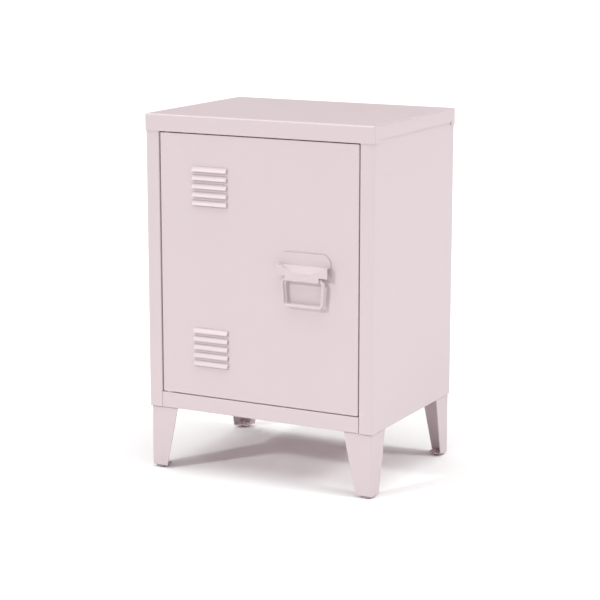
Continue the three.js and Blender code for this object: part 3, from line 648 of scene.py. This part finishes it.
# ------------------------------------------------------------------ legs and glides
def folded_leg():
    """One leg with its outer corner on the Z axis, its flanges along +X and +Y."""
    box, glide = Box("leg_front_left"), Box("foot_glide_front_left")
    wide, foot_wide, sheet = box.size.x, 27, mm("leg_sheet")
    tab_deep, second_tab, notch = 20, 14, 1
    low, high = box.z0, box.z1
    leg = add_block("leg", (0, wide), (0, wide), (low, high))
    with editing(leg):
        pick("VERT", lambda c, v: near(c.z, low) and near(c.x, wide))
        move((foot_wide - wide, 0, 0))
        pick("VERT", lambda c, v: near(c.z, low) and near(c.y, wide))
        move((0, foot_wide - wide, 0))
        pick("FACE", lambda c, f: f.normal.z < -0.5 or f.normal.x > 0.5 or f.normal.y > 0.5)
        bpy.ops.mesh.delete(type="FACE")
        pick("FACE", lambda c, f: f.normal.x < -0.9)
        bisect((0, tab_deep + notch, 0), (0, 1, 0))
        pick("FACE", lambda c, f: f.normal.y < -0.9)
        bisect((foot_wide - 3, 0, 0), (1, 0, 0))
        pick("EDGE", lambda c, e: near(c.z, low) and near(c.y, 0) and c.x < foot_wide - 3)
        extrude((0, tab_deep, 0))
        pick("EDGE", lambda c, e: near(c.z, low) and near(c.x, 0) and c.y > tab_deep + notch)
        extrude((second_tab, 0, 0))
        pick("EDGE", lambda c, e: len(e.link_faces) == 2 and e.calc_face_angle(0) > 0.5)
        bevel(sheet + 0.9, 4)
        pick("VERT", lambda c, v: near(c.z, high) and near(c.x, wide) and near(c.y, wide))
        bevel(14, 1, "VERTICES")
    thicken(leg, sheet)
    corner = Vector((box.x0, box.y0, 0))
    stem = glide.mid - corner
    holes = [add_rod("hole", 3.3, (stem.x, stem.y, low - 2), (stem.x, stem.y, low + 4))]
    for i in (1, 2):
        bolt = Box(f"leg_bolt_front_left_{i}").mid - corner
        holes.append(add_rod("hole", 2.3, (bolt.x, bolt.y, high - 4), (bolt.x, bolt.y, high + 2)))
    cut(leg, *holes)
    soften(leg, 0.3)
    return leg


def copy_to(piece, name, matrix):
    """A copy with its own mesh, put in place, with its faces outward again if the copy is mirrored."""
    focus(piece)
    bpy.ops.object.duplicate()
    twin = bpy.context.object
    twin.name = name
    twin.data.name = name
    twin.matrix_world = matrix
    bpy.ops.object.transform_apply(location=True, rotation=True, scale=True)
    if matrix.determinant() < 0:
        bpy.ops.mesh.customdata_custom_splitnormals_clear()
        with editing(twin):
            bpy.ops.mesh.select_all(action="SELECT")
            bpy.ops.mesh.normals_make_consistent(inside=False)
        smooth_shading(twin, 35)
    return twin


class LOCKER_OT_legs(PieceOperator):
    """Fold the four tapered legs and turn a glide for each"""
    bl_idname = "locker.legs"
    bl_label = "Legs and glides"

    def make(self):
        leg, glide = folded_leg(), self.turned_glide()
        for end, away in ENDS.items():
            for side, sign in SIDES.items():
                box = Box(f"leg_{end}_{side}")
                corner = Vector((box.x0 if sign < 0 else box.x1, box.y0 if away < 0 else box.y1, 0)) * MM
                place = Matrix.Translation(corner) @ Matrix.Diagonal((-sign, -away, 1, 1))
                hand_over(copy_to(leg, f"{end}_{side}_leg", place), "cabinet", "shell_paint",
                          f"leg_{end}_{side}")
                foot = Box(f"foot_glide_{end}_{side}").mid
                place = Matrix.Translation(Vector((foot.x, foot.y, 0)) * MM)
                hand_over(copy_to(glide, f"{end}_{side}_glide", place), "cabinet", "dark_plastic",
                          f"foot_glide_{end}_{side}")
        for spare in (leg, glide):
            bpy.data.objects.remove(spare, do_unlink=True)

    def turned_glide(self):
        box = Box("foot_glide_front_left")
        head, stem, barb = 3.5, 3.0, 4.0
        radius = box.size.x / 2
        glide = add_rod("glide", radius, (0, 0, 0), (0, 0, head), 48)
        with editing(glide):
            pick("FACE", lambda c, f: f.normal.z > 0.9)
            bpy.ops.mesh.inset(thickness=(radius - stem) * MM)
            extrude((0, 0, Box("leg_front_left").z0 + mm("leg_sheet") + GAP - head))
            bpy.ops.mesh.extrude_region_move()
            bpy.ops.transform.resize(value=(barb / stem, barb / stem, 1), center_override=(0, 0, 0))
            extrude((0, 0, box.z1 - Box("leg_front_left").z0 - mm("leg_sheet") - GAP))
            bpy.ops.transform.resize(value=(0.4, 0.4, 1), center_override=(0, 0, 0))
            pick("EDGE", lambda c, e: near(c.z, 0) and len(e.link_faces) == 2)
            bevel(1.4, 4)
        soften(glide, 0.3)
        return glide


# ------------------------------------------------------------------ door
def louvre_tops():
    """Upper edges of the louvres, in two groups above and below the door's middle."""
    door = Box("door_panel")
    group_offset, count = 128.2, 5
    tops = []
    for group in (group_offset, -group_offset):
        for i in range(count):
            from_centre = ((count - 1) / 2 - i) * mm("louvre_pitch")
            tops.append(door.mid.z + group + from_centre + mm("louvre_height") / 2)
    return tops


def press_louvres(front, centre_x):
    """Presses the louvres out of the picked door face, in edit mode, and slits each one's lower edge."""
    half, tall, deep = mm("louvre_width") / 2, mm("louvre_height"), mm("louvre_depth")
    tops = louvre_tops()
    inside = lambda c: abs(c.x - centre_x) < half and any(t - tall < c.z < t for t in tops)
    on_face = lambda c, f: f.normal.y < -0.9
    for x in (centre_x - half, centre_x + half):
        pick("FACE", on_face)
        bisect((x, 0, 0), (1, 0, 0))
    for z in sorted([*tops, *(t - tall for t in tops)]):
        pick("FACE", on_face)
        bisect((0, 0, z), (0, 0, 1))
    pick("FACE", lambda c, f: on_face(c, f) and inside(c))
    extrude((0, -deep, 0))
    rows = (0.2, 0.45, 0.72)
    for share in rows:
        for top in tops:
            pick("FACE", lambda c, f: c.y < front - 0.1 and t_between(c.z, top - tall, top)
                 and abs(c.x - centre_x) < half + 0.1)
            bisect((0, 0, top - share * tall), (0, 0, 1))
    for share in (0, *rows):
        proud = (0.1 + 0.9 * share) ** 0.6  # steep at the top, then ever flatter
        pick("VERT", lambda c, v: near(c.y, front - deep) and any(near(c.z, t - share * tall) for t in tops))
        move((0, deep * (1 - proud), 0))
    pick("FACE", lambda c, f: f.normal.z < -0.9 and front - deep < c.y < front and inside_mouth(c, tops, tall))
    bpy.ops.mesh.delete(type="ONLY_FACE")
    pick("EDGE", lambda c, e: len(e.link_faces) == 2 and near(abs(c.x - centre_x), half)
         and e.calc_face_angle(0) > 0.9 and c.y < front - 0.3)
    bevel(1.1, 3)


def t_between(value, low, high):
    return low - 0.05 < value < high + 0.05


def inside_mouth(centre, tops, tall):
    return any(near(centre.z, top - tall, 0.1) for top in tops)


class LOCKER_OT_door_panel(PieceOperator):
    """Fold the door pan and press its louvres"""
    bl_idname = "locker.door_panel"
    bl_label = "Door panel"

    def make(self):
        box, front = Box("door_panel"), Box("right_side_panel").y0
        flange, louvre_offset = 12, 83.5
        pan = fold_strip("door_sheet", [(box.x0, front), (box.x1, front)], "Z", box.z0, box.z1, 0)
        wide, tall = box.size.x, box.size.z
        rim = lambda c, e: near(c.x, box.x0) or near(c.x, box.x1) or near(c.z, box.z0) or near(c.z, box.z1)
        with editing(pan):
            press_louvres(front, -louvre_offset)
            pick("EDGE", lambda c, e: rim(c, e) and len(e.link_faces) == 1)
            extrude((0, box.y1 - front, 0))
            extrude((0, 0, 0))
            bpy.ops.transform.resize(value=((wide - 2 * flange) / wide, 1, (tall - 2 * flange) / tall),
                                     center_override=box.mid * MM)
            pick("EDGE", lambda c, e: rim(c, e) and len(e.link_faces) == 2 and runs_along(e, 1))
            bevel(mm("fold"), 4)
            pick("EDGE", lambda c, e: len(e.link_faces) == 2 and e.calc_face_angle(0) > 1.2
                 and (near(c.y, front) or near(c.y, box.y1))
                 and (c.x < box.x0 + 3 or c.x > box.x1 - 3 or c.z < box.z0 + 3 or c.z > box.z1 - 3))
            bevel(mm("fold"), 4)
        thicken(pan, mm("sheet"))
        holes = [screw_hole(f"handle_screw_{i}", 1, front - 2, front + 3) for i in (1, 2)]
        holes += [screw_hole("hinge_pin_upper", 2, box.z1 - 3, box.z1 + 2, 2.7),
                  screw_hole("hinge_pin_lower", 2, box.z0 - 2, box.z0 + 3, 2.7)]
        cut(pan, *holes)
        soften(pan, mm("rim"), angle=60)
        hand_over(pan, "door", "shell_paint", "door_panel")


class LOCKER_OT_door_stiffener(PieceOperator):
    """Fold the channel that stiffens the door"""
    bl_idname = "locker.door_stiffener"
    bl_label = "Door stiffener"

    def make(self):
        box, sheet = Box("door_stiffener"), mm("sheet")
        flange = 10
        web, face = box.y1, box.y0 + sheet
        half = box.x1 - flange
        channel = fold_strip("stiffener_channel", [
            (box.x1, face), (half, face), (half, web), (-half, web), (-half, face), (box.x0, face),
        ], "Z", box.z0, box.z1, mm("fold") * 0.8)
        thicken(channel, sheet)
        soften(channel, mm("rim"))
        hand_over(channel, "door", "inside_paint", "door_stiffener")


# ------------------------------------------------------------------ handle
class LOCKER_OT_handle_bracket(PieceOperator):
    """Press the handle bracket: a dished hood, and a knuckle rolled round the ring's wire"""
    bl_idname = "locker.handle_bracket"
    bl_label = "Handle bracket"

    def make(self):
        box, ring = Box("handle_bracket"), Box("ring_pull")
        sheet, chamfer, above_hood, lip_tall = 1.5, 9, 18, 17
        knuckle_half, wrap = 29, 240
        hood_top = box.z1 - above_hood
        lip_low = hood_top - lip_tall
        middle = box.mid.x
        lip, plate_face = box.y0, box.y1 - sheet
        axis_y, axis_z = ring.mid.y, ring.z1 - mm("ring_wire")
        hood = add_block("handle_pressing", (box.x0, box.x1), (lip, box.y1), (lip_low, hood_top))
        with editing(hood):
            bpy.ops.mesh.select_all(action="SELECT")
            bisect((0, plate_face, 0), (0, 1, 0))
            pick("FACE", lambda c, f: f.normal.z > 0.9 and c.y > plate_face)
            extrude((0, 0, above_hood))
            pick("EDGE", lambda c, e: near(c.z, box.z1) and runs_along(e, 1))
            bevel(chamfer, 1)
        cut(hood, self.dish(0, box, hood_top, plate_face))
        with editing(hood):
            pick("EDGE", lambda c, e: c.y < plate_face - 0.1 and c.z > lip_low + 1
                 and box.x0 + 0.1 < c.x < box.x1 - 0.1 and e.calc_face_angle(0) > 0.3)
            bevel(1.2, 4)
        hollow = add_block("hollow", (box.x0 - 1, box.x1 + 1), (lip + sheet, plate_face),
                           (lip_low - 1, hood_top - sheet))
        cut(hollow, self.dish(sheet, box, hood_top, plate_face + 1))
        cut(hood, hollow)
        with editing(hood):
            for sign in (-1, 1):
                pick("FACE", lambda c, f: c.y < lip + sheet + 0.1)
                bisect((middle + sign * knuckle_half, 0, 0), (1, 0, 0))
            pick("FACE", lambda c, f: f.normal.z < -0.9 and near(c.z, lip_low) and c.y < lip + sheet
                 and abs(c.x - middle) < knuckle_half)
            extrude((0, 0, axis_z - lip_low))
            pick("FACE", lambda c, f: f.normal.z < -0.9 and near(c.z, axis_z))
            bpy.ops.mesh.spin(steps=30, angle=math.radians(wrap), axis=(-1, 0, 0),
                              center=Vector((middle, axis_y, axis_z)) * MM)
            bpy.ops.mesh.select_all(action="SELECT")
            bpy.ops.mesh.remove_doubles(threshold=0.01 * MM)
            bpy.ops.mesh.normals_make_consistent(inside=False)
        cut(hood, *[screw_hole(f"handle_screw_{i}", 1, plate_face - 2, box.y1 + 2) for i in (1, 2)])
        soften(hood, 0.25, 2, 55)
        hand_over(hood, "door", "shell_paint", "handle_bracket")

    def dish(self, grow, box, hood_top, back):
        """A cutter for the dish in the hood, grown on all sides, with a flat floor behind the lip."""
        bottom_half, deep, step, above = 17, 11.5, 5, 10
        door_front = box.y1 + GAP
        low, high = hood_top - deep - grow, hood_top + above
        half = box.size.x / 2 - 0.4
        cutter = add_block("dish", (box.x0 - 30, box.x1 + 30), (box.y0 - 5, back), (low, high))
        slope = deep / (door_front - box.y0 - step)
        planes = [((0, door_front, hood_top - 1.4 * grow), (0, slope, -1))]
        for sign in (-1, 1):
            side_slope = deep / (half - bottom_half)
            foot = (box.mid.x + sign * (bottom_half + grow / 2), 0, low)
            planes.append((foot, (sign * side_slope, 0, -1)))
        with editing(cutter):
            for point, normal in planes:
                bpy.ops.mesh.select_all(action="SELECT")
                bpy.ops.mesh.bisect(plane_co=Vector(point) * MM, plane_no=normal, use_fill=True,
                                    clear_outer=True)
        return cutter


class LOCKER_OT_ring_pull(PieceOperator):
    """Bend the ring pull from one wire whose ends meet inside the knuckle"""
    bl_idname = "locker.ring_pull"
    bl_label = "Ring pull"

    def make(self):
        box, wire = Box("ring_pull"), mm("ring_wire")
        middle = Vector((box.mid.x, box.mid.y, box.z1 - wire))
        drop = box.size.z - 2 * wire
        top_half, bottom_half, top_round, bottom_round, butt = 35.8, 32.65, 9, 5, 0.3
        corners = [(top_half, 0, top_round), (bottom_half, -drop, bottom_round),
                   (-bottom_half, -drop, bottom_round), (-top_half, 0, top_round)]
        points = [(Vector((butt, 0, 0)), None)]
        for i, (x, z, rounding) in enumerate(corners):
            corner = Vector((x, 0, z))
            before = Vector((corners[i - 1][0], 0, corners[i - 1][1])) if i else Vector()
            after = Vector((corners[i + 1][0], 0, corners[i + 1][1])) if i < 3 else Vector()
            for neighbour in (before, after):
                points.append((corner + (neighbour - corner).normalized() * rounding, corner))
        points.append((Vector((-butt, 0, 0)), None))
        bpy.ops.object.select_all(action="DESELECT")
        bpy.ops.curve.primitive_bezier_curve_add(location=middle * MM)
        bend = bpy.context.object
        bend.name = "ring_wire"
        spline = bend.data.splines[0]
        spline.bezier_points.add(len(points) - 2)
        towards_corner = 0.5523
        for i, (handle, (at, corner)) in enumerate(zip(spline.bezier_points, points)):
            handle.handle_left_type = handle.handle_right_type = "FREE"
            handle.co = handle.handle_left = handle.handle_right = at * MM
            if corner is None:
                continue
            pulled = at.lerp(corner, towards_corner) * MM
            if i % 2:
                handle.handle_right = pulled
            else:
                handle.handle_left = pulled
        bend.data.dimensions = "3D"
        bend.data.resolution_u = 10
        bend.data.bevel_depth = wire * MM
        bend.data.bevel_resolution = 8
        bend.data.use_fill_caps = True
        focus(bend)
        bpy.ops.object.convert(target="MESH")
        ring = new_piece("ring_wire")
        with editing(ring):
            bpy.ops.mesh.select_all(action="SELECT")
            bpy.ops.mesh.remove_doubles(threshold=0.01 * MM)
            bpy.ops.mesh.normals_make_consistent(inside=False)
        smooth_shading(ring, 40)
        hand_over(ring, "ring", "shell_paint", "ring_pull")


# ------------------------------------------------------------------ inside
class LOCKER_OT_shelf(PieceOperator):
    """Fold the lift-out shelf, a tray turned upside down"""
    bl_idname = "locker.shelf"
    bl_label = "Shelf"

    def make(self):
        box, sheet = Box("shelf"), mm("sheet")
        hem = 10
        shelf = fold_strip("shelf_sheet", [
            (box.y1 - hem, box.z0), (box.y1, box.z0), (box.y1, box.z1),
            (box.y0, box.z1), (box.y0, box.z0), (box.y0 + hem, box.z0),
        ], "X", box.x0, box.x1, mm("fold"), 5)
        slit = 2 * mm("fold")
        with editing(shelf):
            for y in (box.y0 + slit, box.y1 - slit):
                pick("FACE", lambda c, f: f.normal.z > 0.99 and c.z > box.mid.z)
                bisect((0, y, 0), (0, 1, 0))
            for x in (box.x0, box.x1):
                on_end = lambda c, e: near(c.x, x) and near(c.z, box.z1) and abs(c.y - box.mid.y) < 20
                pick("EDGE", on_end)
                extrude((0, 0, -box.size.z))
                pick("EDGE", on_end)
                bevel(mm("fold"), 5)
        thicken(shelf, sheet)
        soften(shelf, mm("rim"))
        hand_over(shelf, "cabinet", "inside_paint", "shelf")


class LOCKER_OT_shelf_tracks(PieceOperator):
    """Fold the four slotted tracks, and round off the hooked clips that carry the shelf"""
    bl_idname = "locker.shelf_tracks"
    bl_label = "Shelf tracks and clips"

    def make(self):
        for end in ENDS:
            for side, sign in SIDES.items():
                hand_over(self.track(end, side, sign), "cabinet", "inside_paint", f"shelf_track_{end}_{side}")
                clip = softened_copy(f"shelf_clip_{end}_{side}", 0.25)
                hand_over(clip, "cabinet", "zinc_plate", f"shelf_clip_{end}_{side}")

    def track(self, end, side, sign):
        box, sheet = Box(f"shelf_track_{end}_{side}"), mm("sheet")
        flange, slot_pitch, slot_wide, slot_tall = 6, 25, 8, 3
        wall, face = (box.x1 - sheet, box.x0) if sign > 0 else (box.x0 + sheet, box.x1)
        low, high = box.y0 + flange, box.y1 - flange
        section = [(wall, box.y1), (wall, high), (face, high), (face, low), (wall, low), (wall, box.y0)]
        if sign < 0:
            section.reverse()
        track = fold_strip(f"{end}_{side}_track", section, "Z", box.z0, box.z1, mm("fold") * 0.8)
        thicken(track, sheet)
        count = int(box.size.z // slot_pitch) - 2
        slots = [add_block("slot", (face - 2, face + 2), (box.mid.y - slot_wide / 2, box.mid.y + slot_wide / 2),
                           (box.z0 + i * slot_pitch - slot_tall / 2, box.z0 + i * slot_pitch + slot_tall / 2))
                 for i in range(1, count + 1)]
        bpy.ops.object.select_all(action="DESELECT")
        for slot in slots:
            slot.select_set(True)
        bpy.ops.object.join()
        cut(track, bpy.context.object)
        soften(track, mm("rim"))
        return track


def softened_copy(node, width):
    """A small piece shaped from its CAD node: its triangles merged, its flats cleared, its edges rounded."""
    focus(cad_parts[node])
    bpy.ops.object.duplicate()
    piece = bpy.context.object
    for key in list(piece.keys()):
        del piece[key]
    piece.name = f"{node}_piece"
    piece.data.name = piece.name
    piece.parent = None
    with editing(piece):
        bpy.ops.mesh.select_all(action="SELECT")
        bpy.ops.mesh.remove_doubles(threshold=0.002 * MM)
        bpy.ops.mesh.dissolve_limited(angle_limit=math.radians(1))
    soften(piece, width)
    return piece


class LOCKER_OT_catch(PieceOperator):
    """Mould the magnetic catch and the door's bumpers"""
    bl_idname = "locker.catch"
    bl_label = "Catch and bumpers"

    def make(self):
        hand_over(softened_copy("catch_housing", 0.6), "cabinet", "white_plastic", "catch_housing")
        hand_over(softened_copy("catch_magnet", 0.4), "cabinet", "ferrite", "catch_magnet")
        for level in ("lower", "upper"):
            bumper = softened_copy(f"door_bumper_{level}", 0.5)
            hand_over(bumper, "cabinet", "bumper_rubber", f"door_bumper_{level}")


class LOCKER_OT_hinges(PieceOperator):
    """Turn the hinge pins and mould their bushings"""
    bl_idname = "locker.hinges"
    bl_label = "Hinge pins and bushings"

    def make(self):
        for level in ("lower", "upper"):
            hand_over(softened_copy(f"hinge_pin_{level}", 0.3), "door", "zinc_plate", f"hinge_pin_{level}")
            hand_over(softened_copy(f"hinge_bushing_{level}", 0.2), "cabinet", "white_plastic",
                      f"hinge_bushing_{level}")


# ------------------------------------------------------------------ screws
def cross_head_screw(name, radius, head_radius, head_tall, long):
    """A pan-head screw with a cross recess, its head's underside on z = 0 and its shank down -Z."""
    screw = add_rod(name, head_radius, (0, 0, 0), (0, 0, head_tall), 40)
    with editing(screw):
        pick("FACE", lambda c, f: f.normal.z < -0.9)
        bpy.ops.mesh.inset(thickness=(head_radius - radius) * MM)
        extrude((0, 0, -(long - radius)))
        extrude((0, 0, -radius))
        bpy.ops.transform.resize(value=(0.5, 0.5, 1), center_override=(0, 0, -long * MM))
        pick("EDGE", lambda c, e: near(c.z, head_tall) and len(e.link_faces) == 2)
        bevel(head_tall * 0.6, 5)
    wing, slot = head_radius * 0.55, head_radius * 0.11
    deep = (head_tall * 0.35, head_tall + 1)
    cut(screw,
        add_block("recess", (-wing, wing), (-slot, slot), deep),
        add_block("recess", (-slot, slot), (-wing, wing), deep))
    soften(screw, 0.12, 2, 40)
    return screw


class LOCKER_OT_screws(PieceOperator):
    """Head the screws and bolts, each with a cross recess"""
    bl_idname = "locker.screws"
    bl_label = "Screws and bolts"

    def make(self):
        self.drive([f"top_screw_{end}_{side}" for end in ENDS for side in SIDES],
                   "cabinet", 1.6, 3.4, 1.2, up=False)
        self.drive(["catch_screw_1", "catch_screw_2"], "cabinet", 1.6, 3.4, 1.2, up=False)
        self.drive([f"back_screw_{level}_{side}" for level in ("lower", "middle", "upper") for side in SIDES],
                   "cabinet", 1.6, 3.4, 1.2, up=None)
        self.drive(["handle_screw_1", "handle_screw_2"], "door", 1.6, 3.4, 1.2, up=None)
        self.drive([f"leg_bolt_{end}_{side}_{i}" for end in ENDS for side in SIDES for i in (1, 2)],
                   "cabinet", 2.0, 4.0, 2.4, up=False)

    def drive(self, nodes, body, radius, head_radius, head_tall, up):
        """Puts a copy of one screw at each node: head down, or head to the rear where up is None."""
        axis = 1 if up is None else 2
        screw = cross_head_screw("screw", radius, head_radius, head_tall, Box(nodes[0]).size[axis] - head_tall)
        for node in nodes:
            box = Box(node)
            if up is None:
                seat = Vector((box.mid.x, box.y1 - head_tall, box.mid.z))
                turn = Matrix.Rotation(math.radians(-90), 4, "X")
            else:
                seat = Vector((box.mid.x, box.mid.y, box.z0 + head_tall))
                turn = Matrix.Rotation(math.radians(180), 4, "X")
            piece = copy_to(screw, f"{node}_piece", Matrix.Translation(seat * MM) @ turn)
            hand_over(piece, body, "zinc_plate", node)
        bpy.data.objects.remove(screw, do_unlink=True)


# ------------------------------------------------------------------ studio
class LOCKER_OT_studio(PieceOperator):
    """Set up the pale floor, the soft lights and the camera"""
    bl_idname = "locker.studio"
    bl_label = "Studio"

    def make(self):
        scene = bpy.context.scene
        bpy.ops.object.select_all(action="DESELECT")
        bpy.ops.mesh.primitive_plane_add(size=60, location=(0, 0, 0))
        floor = new_piece("studio_floor")
        pale = colours().floor
        floor.data.materials.append(finish(
            "pale_floor", shade(pale, 0.99), pale, 400, (0.75, 0.85), 5, 0.01,
            **{"Specular IOR Level": 0.2}))
        for name, travel, softness, strength in [
            ("key_light", (0.59, 1.0, -0.63), 5, 1.2),
            ("side_light", (-1.0, -0.1, -0.8), 15, 1.2),
            ("top_light", (0.0, 0.1, -1.0), 70, 2.5),
        ]:
            bpy.ops.object.light_add(type="SUN", location=Vector(travel) * -3)
            lamp = bpy.context.object
            lamp.name = name
            lamp.rotation_euler = Vector(travel).to_track_quat("-Z", "Y").to_euler()
            lamp.data.angle = math.radians(softness)
            lamp.data.energy = strength
            lamp.data.color = (0.965, 1.01, 1.01)
        world = bpy.data.worlds.new("studio_world")
        scene.world = world
        world.use_nodes = True
        tree = world.node_tree
        seen = add_node(tree, "ShaderNodeLightPath").outputs["Is Camera Ray"]
        glow = add_node(tree, "ShaderNodeMix", {
            "Factor": seen, "A": (0.23, 0.19, 0.185, 1), "B": (1, 1, 1, 1)}, data_type="RGBA")
        tree.links.new(glow.outputs["Result"], tree.nodes["Background"].inputs["Color"])
        bpy.ops.object.camera_add(
            location=(1.4032, -2.6784, 0.8913),
            rotation=(math.radians(90 - 11.631), 0, math.radians(27.658)))
        camera = bpy.context.object
        camera.name = "camera"
        camera.data.lens = 114.65
        camera.data.sensor_width = 36
        camera.data.clip_end = 100
        scene.camera = camera
        scene.view_settings.view_transform = "Standard"


# ------------------------------------------------------------------ panel and registration
PIECES = (
    LOCKER_OT_studio,
    LOCKER_OT_top_panel,
    LOCKER_OT_side_panels,
    LOCKER_OT_bottom_panel,
    LOCKER_OT_back_panel,
    LOCKER_OT_legs,
    LOCKER_OT_door_panel,
    LOCKER_OT_door_stiffener,
    LOCKER_OT_handle_bracket,
    LOCKER_OT_ring_pull,
    LOCKER_OT_shelf,
    LOCKER_OT_shelf_tracks,
    LOCKER_OT_catch,
    LOCKER_OT_hinges,
    LOCKER_OT_screws,
)


class LOCKER_PT_panel(bpy.types.Panel):
    """Lists the locker's sizes, colours and pieces"""
    bl_idname = "LOCKER_PT_panel"
    bl_label = "Steel locker"
    bl_space_type = "VIEW_3D"
    bl_region_type = "UI"
    bl_category = "Locker"

    def draw(self, context):
        for group in (context.scene.locker_sizes, context.scene.locker_colours):
            for name in group.bl_rna.properties.keys():
                if name not in ("rna_type", "name"):
                    self.layout.prop(group, name)
        for operator in PIECES:
            self.layout.operator(operator.bl_idname)


def register():
    for kind in (LockerSizes, LockerColours, *PIECES, LOCKER_PT_panel):
        bpy.utils.register_class(kind)
    bpy.types.Scene.locker_sizes = bpy.props.PointerProperty(type=LockerSizes)
    bpy.types.Scene.locker_colours = bpy.props.PointerProperty(type=LockerColours)


def unregister():
    del bpy.types.Scene.locker_colours
    del bpy.types.Scene.locker_sizes
    for kind in reversed((LockerSizes, LockerColours, *PIECES, LOCKER_PT_panel)):
        bpy.utils.unregister_class(kind)


def main():
    register()
    for operator in PIECES:
        family, name = operator.bl_idname.split(".")
        getattr(getattr(bpy.ops, family), name)()


if __name__ == "__main__":
    main()
